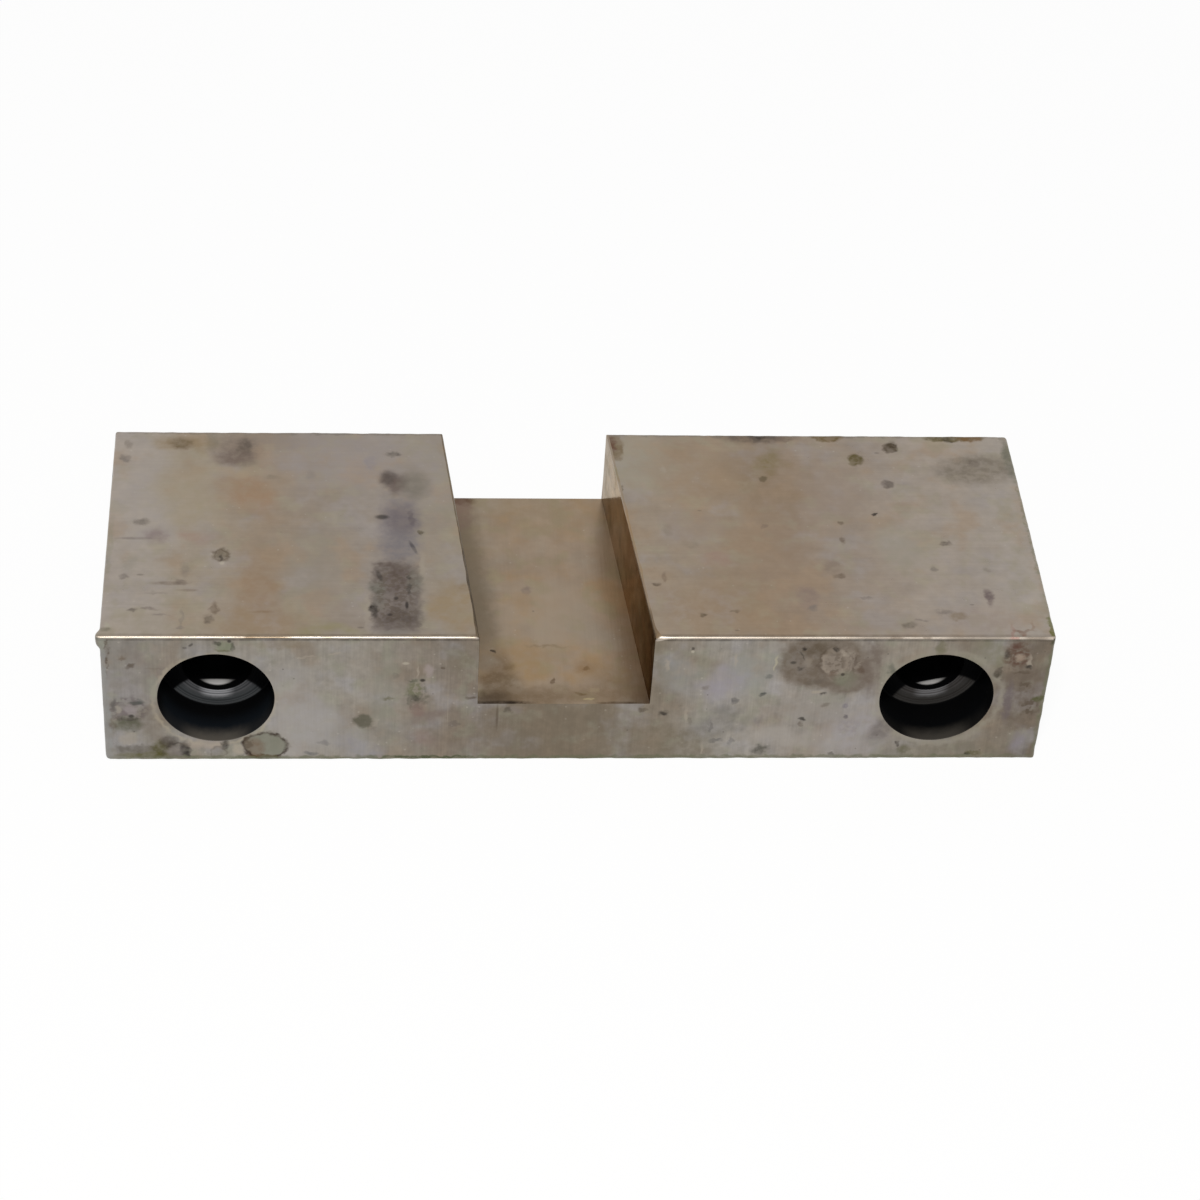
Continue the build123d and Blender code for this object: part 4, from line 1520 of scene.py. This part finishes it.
    def _cut_bruise(self, bm: bmesh.types.BMesh) -> None:
        """Adds loops close to the bruised corner, so that it can be pushed out."""
        reach = self.low.x + self.bruise_reach
        self._cut(bm, list(bm.faces), 0, reach)
        near = [f for f in bm.faces if max(v.co.x for v in f.verts) < reach + 1e-3]
        levels = (
            [self.low.x + side for side in self.side_cuts],
            [self.low.y + depth for depth in self.depth_cuts],
            [self.high.z - drop for drop in self.drop_cuts],
        )
        for axis in range(3):
            for level in levels[axis]:
                near = self._cut(bm, near, axis, level)

    def _wear(self, mesh: bpy.types.Mesh) -> None:
        """Makes the edge breaks uneven, with knocks and the bruised corner. Flat faces stay flat.

        Args:
            mesh: The bar, changed in place.
        """
        count = len(mesh.vertices)
        co = np.empty(count * 3)
        mesh.vertices.foreach_get("co", co)
        co = co.reshape(-1, 3)
        moved = co.copy()
        for name, edge in self.edges().items():
            if edge.waver == 0.0:
                continue
            start, span = np.array(edge.start), np.array(edge.end - edge.start)
            axis = int(np.argmax(np.abs(span)))
            share = np.clip((co[:, axis] - start[axis]) / span[axis], 0.0, 1.0)
            near = start + share[:, None] * span
            away = co - near
            far = np.linalg.norm(away, axis=1)
            hold = smooth_step(1.0 - (far - edge.size) / self.fade_width)
            hold = hold * np.minimum(1.0, edge.size / np.maximum(far, 1e-6))
            for i in np.nonzero(hold > 0)[0]:
                spot = Vector(near[i])
                waves = noise.noise(spot * self.broad_waver)
                waves += self.fine_share * noise.noise(spot * self.fine_waver)
                change = edge.waver * self.waver_swell * waves
                for knock in self.knocks:
                    if knock.edge == name:
                        reach = (spot - Vector(knock.at)).length / knock.reach
                        change += knock.wider * math.exp(-reach * reach)
                moved[i] += away[i] * max(self.least_change, change) * hold[i]

        side, depth, drop = co[:, 0] - self.low.x, co[:, 1] - self.low.y, self.high.z - co[:, 2]
        swell = 1.0 - smooth_step(side / self.bruise_side)
        for far, (start, end) in ((depth, self.bruise_depth), (drop, self.bruise_height)):
            swell *= 1.0 - smooth_step((far - start) / (end - start))
        moved[:, 0] -= self.bruise_push * swell
        mesh.vertices.foreach_set("co", moved.ravel())
        mesh.update()


# --- The bolt holes ---


@dataclass
class BoltHole:
    """One counterbored bolt hole, as the tool that cuts it. All sizes are in millimetres."""

    middle: Vector
    front: float
    back: float
    hole_radius: float
    counterbore_radius: float
    shoulder: float
    rim_break: float = 0.08
    root_radius: float = 0.25
    exit_break: float = 0.5
    tool_rings: int = 6
    ring_steps: int = 4
    ring_depth: float = 0.012
    sides: int = 128
    beyond: float = 1.0

    def profile(self) -> list[tuple[float, float]]:
        """The tool's outline as depth and radius, from the front to the back."""
        outer, inner = self.counterbore_radius - self.root_radius, self.hole_radius
        bend = self.root_radius * 0.29
        line = [
            (self.front - self.beyond, self.counterbore_radius + self.rim_break + self.beyond),
            (self.front, self.counterbore_radius + self.rim_break),
            (self.front + self.rim_break, self.counterbore_radius),
            (self.shoulder - self.root_radius, self.counterbore_radius),
            (self.shoulder - bend, self.counterbore_radius - bend),
            (self.shoulder, outer),
        ]
        steps = self.tool_rings * self.ring_steps
        for i in range(1, steps):
            share = i / steps
            wave = math.sin(share * self.tool_rings * 2 * math.pi) * self.ring_depth
            line.append((self.shoulder + wave, outer + (inner - outer) * share))
        line += [
            (self.shoulder, inner),
            (self.back - self.exit_break, inner),
            (self.back, inner + self.exit_break),
            (self.back + self.beyond, inner + self.exit_break + self.beyond),
        ]
        return line

    def tool(self, name: str) -> bpy.types.Object:
        """Makes the cutting tool as a closed turned shape.

        Args:
            name: The object's name.

        Returns:
            The object.
        """
        mesh = bpy.data.meshes.new(name)
        turns = [2 * math.pi * k / self.sides for k in range(self.sides)]
        x, z = self.middle.x, self.middle.z
        with opened(mesh) as bm:
            rings = [
                [bm.verts.new((x + far * math.cos(turn), y, z + far * math.sin(turn))) for turn in turns]
                for y, far in self.profile()
            ]
            for before, after in zip(rings, rings[1:]):
                for k in range(self.sides):
                    j = (k + 1) % self.sides
                    bm.faces.new((before[k], before[j], after[j], after[k]))
            bm.faces.new(rings[0])
            bm.faces.new(rings[-1])
            bmesh.ops.recalc_face_normals(bm, faces=bm.faces)
        return placed(name, mesh)


# --- The block ---


class MountingBlock:
    """The whole block: the slotted bar, bored, sorted into its surfaces and dressed."""

    # how far past a level a face still counts as on it, and past a counterbore's wall, in millimetres
    TOUCH = 0.02
    BORE_SKIN = 0.2
    # how far a broken slot edge goes down and sideways, and how far the rubbed front edge with its painted
    # highlight goes
    BREAK_DROP = 1.0
    BREAK_WIDTH = 1.4
    EDGE_REACH = 1.2
    # between what upward parts of its normal a face belongs to a broken slot edge
    BREAK_SLOPE = (0.15, 0.995)
    # the least angle between faces, in degrees, that stays sharp
    SHARP_ANGLE = 42

    def __init__(self) -> None:
        """Reads the block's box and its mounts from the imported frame."""
        low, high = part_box(CAD_NODE)
        self.low, self.high = low / METRES, high / METRES
        mounts = {mount["name"]: mount for mount in frame["record"]["mounts"]}

        def middle(name: str) -> Vector:
            """A mount's place in millimetres."""
            return Vector(mounts[name]["pos_m"]) / METRES

        floor = middle("slot_floor")
        self.bar = SlottedBar(self.low, self.high, slot_floor=floor.z, slot_middle=floor.x)
        self.holes = []
        for side in ("left", "right"):
            counterbore, bore = mounts[f"{side}_counterbore"], mounts[f"{side}_bolt_hole"]
            place, drilled = middle(f"{side}_counterbore"), middle(f"{side}_bolt_hole")
            shoulder = round(place.y + counterbore["dims"]["length_mm"] / 2, 3)
            self.holes.append(
                BoltHole(
                    middle=Vector((place.x, 0.0, drilled.z)),
                    front=self.low.y,
                    back=self.high.y,
                    hole_radius=bore["dims"]["r_mm"],
                    counterbore_radius=counterbore["dims"]["r_mm"],
                    shoulder=shoulder,
                )
            )

    def build(self) -> bpy.types.Object:
        """Makes the worn block as one closed mesh.

        Returns:
            The piece, in metres in the row's frame.
        """
        block = placed("ground_block", self.bar.build())
        tools = [hole.tool(f"hole_tool_{i}") for i, hole in enumerate(self.holes)]
        for tool in tools:
            cut = block.modifiers.new(tool.name, "BOOLEAN")
            cut.operation = "DIFFERENCE"
            cut.solver = "EXACT"
            cut.object = tool
        bpy.context.view_layer.update()
        bored = bpy.data.meshes.new_from_object(block.evaluated_get(bpy.context.evaluated_depsgraph_get()))
        block.modifiers.clear()
        block.data = bored
        for tool in tools:
            bpy.data.objects.remove(tool)
        self._sort(bored)
        self._smooth(block)
        bored.transform(Matrix.Scale(METRES, 4))
        triangles = sum(len(face.vertices) - 2 for face in bored.polygons)
        log.info("ground_block: %d faces, %d triangles", len(bored.polygons), triangles)
        return block

    def _sort(self, mesh: bpy.types.Mesh) -> None:
        """Gives every face the material slot of its kind of surface.

        Args:
            mesh: The bored mesh, changed in place.
        """
        for face in mesh.polygons:
            face.material_index = self._surface(face.center, face.normal).value

    def _surface(self, middle: Vector, normal: Vector) -> Surface:
        """The kind of surface that a face belongs to.

        Args:
            middle: The face's middle.
            normal: The way the face looks.

        Returns:
            The kind of surface.
        """
        for hole in self.holes:
            radius = math.hypot(middle.x - hole.middle.x, middle.z - hole.middle.z)
            inside = hole.front + 1e-3 < middle.y < hole.back - 1e-3
            if inside and radius < hole.counterbore_radius + self.BORE_SKIN:
                return Surface.BORE
        lean = self.bar.slot_middle - middle.y * math.tan(math.radians(self.bar.slot_skew))
        from_wall = self.bar.slot_width / 2 - abs(middle.x - lean)
        below_top = self.high.z - middle.z
        in_slot_width = from_wall > -self.TOUCH
        if abs(normal.y) < 0.3 and middle.z > self.bar.slot_floor - self.TOUCH:
            low, high = self.BREAK_SLOPE
            broken = below_top < self.BREAK_DROP and from_wall > -self.BREAK_WIDTH and low < normal.z < high
            if broken or (normal.z > 0.9 and in_slot_width and below_top > self.BREAK_DROP):
                return Surface.FLOOR
            if in_slot_width:
                return Surface.WALL
        near_corner = below_top < self.EDGE_REACH and middle.y < self.low.y + self.EDGE_REACH
        if near_corner and normal.y < -0.25 and normal.z > 0.25:
            return Surface.EDGE
        return Surface.LAND if normal.z > 0.5 and below_top < self.BREAK_DROP else Surface.FACE

    def _smooth(self, block: bpy.types.Object) -> None:
        """Shades the breaks and bores smoothly and keeps the flat faces flat.

        Args:
            block: The piece, changed in place.
        """
        mesh = block.data
        mesh.polygons.foreach_set("use_smooth", [True] * len(mesh.polygons))
        mesh.set_sharp_from_angle(angle=math.radians(self.SHARP_ANGLE))
        weighted = block.modifiers.new("flat_faces", "WEIGHTED_NORMAL")
        weighted.keep_sharp = True
        weighted.weight = 100

    def dress(self, block: bpy.types.Object, effect: Effect) -> None:
        """Gives the block its finishes.

        Args:
            block: The piece.
            effect: The shared node groups.
        """
        hole = self.holes[0]
        face = GroundSteel(
            name="ground_face",
            tarnish=(
                (-72.0, (132, 127, 120)), (-58.0, (137, 131, 122)), (-42.0, (146, 140, 131)),
                (-30.0, (139, 132, 122)), (-20.0, (127, 117, 106)), (-2.0, (118, 107, 92)),
                (11.0, (126, 116, 103)), (20.0, (142, 136, 127)), (34.0, (145, 138, 130)),
                (50.0, (139, 131, 120)), (64.0, (124, 115, 103)), (72.0, (112, 102, 90)),
            ),
            warm=(130, 115, 98),
            cool=(148, 145, 146),
            green=(136, 134, 118),
            squeeze=(3.2, 3.2, 0.16),
            lift=1.05,
            lines=0.13,
            clouds=(0.25, 0.36, 0.42, 0.16),
            tint=0.5,
            speck_share=0.09,
            stains_and_painted_light=FRONT_STAINS_AND_PAINTED_SHADE,
        )
        land = GroundSteel(
            name="ground_land",
            tarnish=(
                (-72.0, (160, 150, 140)), (-66.0, (159, 149, 138)), (-58.0, (152, 140, 125)),
                (-48.0, (146, 131, 114)), (-40.0, (144, 132, 119)), (-30.0, (147, 137, 127)),
                (-20.0, (145, 134, 120)), (14.0, (149, 135, 119)), (24.0, (146, 130, 112)),
                (32.0, (143, 126, 109)), (44.0, (147, 134, 121)), (58.0, (155, 144, 133)),
                (72.0, (157, 148, 138)),
            ),
            warm=(152, 130, 106),
            cool=(150, 143, 140),
            green=(148, 140, 120),
            squeeze=(0.10, 2.6, 2.6),
            lift=1.19,
            lines=0.05,
            clouds=(0.10, 0.24, 0.20, 0.05),
            tint=0.45,
            speck_share=0.03,
            speck_squeeze=(0.45, 1.0, 1.0),
            speck_strength=0.35,
            stains_and_painted_light=LAND_STAINS,
        )
        floor = GroundSteel(
            name="milled_floor",
            tarnish=(
                (-20.0, (134, 119, 101)), (-12.0, (140, 124, 106)), (-5.0, (145, 129, 111)),
                (2.0, (146, 129, 111)), (6.0, (144, 126, 107)), (12.0, (138, 119, 99)),
            ),
            warm=(148, 122, 90),
            cool=(142, 132, 118),
            green=(136, 126, 100),
            squeeze=(3.0, 0.12, 3.0),
            lift=1.25,
            lines=0.05,
            clouds=(0.18, 0.32, 0.20, 0.03),
            tint=0.6,
            roughness=0.30,
            speck_share=0.01,
            stains_and_painted_light=SLOT_STAINS_AND_PAINTED_LIGHT,
        )
        wall = GroundSteel(
            name="milled_wall",
            tarnish=(
                # painted reflection: the right wall runs from light at the back, where it would mirror the
                # white room, to dark brown at the front, where it would mirror the slot
                (-24.0, (120, 102, 84)), (6.4, (150, 144, 136)), (7.4, (158, 147, 133)),
                (8.6, (156, 142, 125)), (9.8, (130, 115, 98)), (10.9, (94, 83, 71)),
            ),
            warm=(132, 112, 92),
            cool=(146, 138, 128),
            green=(122, 112, 94),
            squeeze=(3.0, 0.12, 3.0),
            lines=0.06,
            clouds=(0.15, 0.25, 0.2, 0.05),
            tint=0.4,
            roughness=0.16,
            edge_share=2.2,
            drift=Outline.CRISP,
            speck_share=0.02,
        )
        bore = BoreWithPaintedLight(
            name="oiled_bore",
            hole_inset=abs(hole.middle.x),
            hole_height=hole.middle.z,
            hole_radius=hole.hole_radius,
            counterbore_radius=hole.counterbore_radius,
            shoulder_depth=hole.shoulder - hole.front,
        )
        edge = RubbedEdgeAndHighlight(name="rubbed_edge", stains_and_painted_light=EDGE_STAINS_AND_PAINTED_HIGHLIGHT)
        steels = {Surface.FACE: face, Surface.LAND: land, Surface.FLOOR: floor, Surface.WALL: wall}
        made = {surface: steel.build(effect, self.high.x) for surface, steel in steels.items()}
        made |= {Surface.BORE: bore.build(effect), Surface.EDGE: edge.build(effect)}
        for surface in Surface:
            block.data.materials.append(made[surface])
            log.info("%s wears %s", surface.name.lower(), made[surface].name)

    def mount(self, block: bpy.types.Object) -> None:
        """Ties the piece to the frame in place of the plain node."""
        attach(block, BODY)
        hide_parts(CAD_NODE)


# --- The studio ---


@dataclass
class Studio:
    """The pale floor, the white room, the key lamp and the camera.

    Sizes and places are in metres, the camera's turns in degrees, its lens and sensor in millimetres.
    """

    floor_half: float = 2.5
    floor_tone: Tone = (0.94, 0.94, 0.94)
    floor_white: float = 0.95
    room_level: float = 0.45
    key_place: Point = (-0.050, -0.335, 0.440)
    key_size: float = 0.08
    key_power: float = 2.0
    key_tone: Tone = (1.0, 0.96, 0.9)
    key_aim: Point = (0.0, 0.0, 0.012)
    camera_place: Point = (-0.037865, -0.400471, 0.352506)
    camera_yaw: float = 6.0758
    camera_pitch: float = 40.2893
    camera_roll: float = 4.0493
    camera_lens: float = 100.0
    camera_sensor: float = 36.0
    camera_sees: tuple[float, float] = (0.01, 50.0)

    def build(self) -> None:
        """Builds all of it."""
        self._floor()
        self._room()
        self._key()
        self._camera()
        log.info("studio: floor, room, key lamp and camera")

    def _floor(self) -> None:
        """Makes the floor, which shows white and still takes the block's shadow."""
        mesh = bpy.data.meshes.new("studio_floor")
        s = self.floor_half
        mesh.from_pydata([(-s, -s, 0), (s, -s, 0), (s, s, 0), (-s, s, 0)], [], [(0, 1, 2, 3)])
        floor = placed("studio_floor", mesh)
        material = bpy.data.materials.new("studio_floor")
        w = emptied(material)
        paint = w.add("ShaderNodeBsdfDiffuse")
        w.feed(paint.inputs["Color"], self.floor_tone)
        white = w.add("ShaderNodeEmission")
        mix = w.add("ShaderNodeMixShader")
        w.feed(mix.inputs[0], w.times(self._seen(w), self.floor_white))
        w.feed(mix.inputs[1], paint.outputs[0])
        w.feed(mix.inputs[2], white.outputs[0])
        w.finish(mix)
        mesh.materials.append(material)
        floor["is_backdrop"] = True

    @staticmethod
    def _seen(w: Wiring) -> bpy.types.NodeSocket:
        """1 for rays from the camera, a reflection or glass, and 0 for light that falls on things."""
        path = w.add("ShaderNodeLightPath")
        either = w.math("MAXIMUM", path.outputs["Is Camera Ray"], path.outputs["Is Glossy Ray"])
        return w.math("MAXIMUM", either, path.outputs["Is Transmission Ray"])

    def _room(self) -> None:
        """Makes the room white to look at and softer as a light."""
        world = bpy.data.worlds.new("white_room")
        w = emptied(world)
        background = w.add("ShaderNodeBackground")
        w.feed(background.inputs["Strength"], w.between(self._seen(w), self.room_level, 1.0))
        w.feed(w.add("ShaderNodeOutputWorld").inputs["Surface"], background.outputs[0])
        bpy.context.scene.world = world

    def _key(self) -> None:
        """Makes the key lamp, above the camera and aimed at the block."""
        data = bpy.data.lights.new("key_lamp", "AREA")
        data.shape = "DISK"
        data.size = self.key_size
        data.energy = self.key_power
        data.color = self.key_tone
        lamp = placed("key_lamp", data)
        lamp.location = self.key_place
        aim = Vector(self.key_aim) - Vector(self.key_place)
        lamp.rotation_euler = aim.to_track_quat("-Z", "Y").to_euler()

    def _camera(self) -> None:
        """Makes the camera and gives it to the scene."""
        data = bpy.data.cameras.new("camera")
        data.lens = self.camera_lens
        data.sensor_width = self.camera_sensor
        data.clip_start, data.clip_end = self.camera_sees
        camera = placed("camera", data)
        turn = (
            Matrix.Rotation(math.radians(-self.camera_yaw), 4, "Z")
            @ Matrix.Rotation(math.radians(90.0 - self.camera_pitch), 4, "X")
            @ Matrix.Rotation(math.radians(self.camera_roll), 4, "Z")
        )
        camera.matrix_world = Matrix.Translation(self.camera_place) @ turn
        bpy.context.scene.camera = camera


# --- Sizes ---


@dataclass
class SizeLog:
    """Keeps the box of the solids."""

    solids: tuple[Vector, Vector]

    def write(self) -> None:
        """Does nothing."""


def main() -> None:
    """Builds the block, dresses it and sets up the studio."""
    logging.basicConfig(level=logging.INFO, format="%(name)s: %(message)s")
    sizes = SizeLog(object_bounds())
    bpy.context.scene.view_settings.view_transform = "Standard"
    effect = Effect()
    product = MountingBlock()
    block = product.build()
    product.dress(block, effect)
    product.mount(block)
    Studio().build()
    sizes.write()


if __name__ == "__main__":
    main()
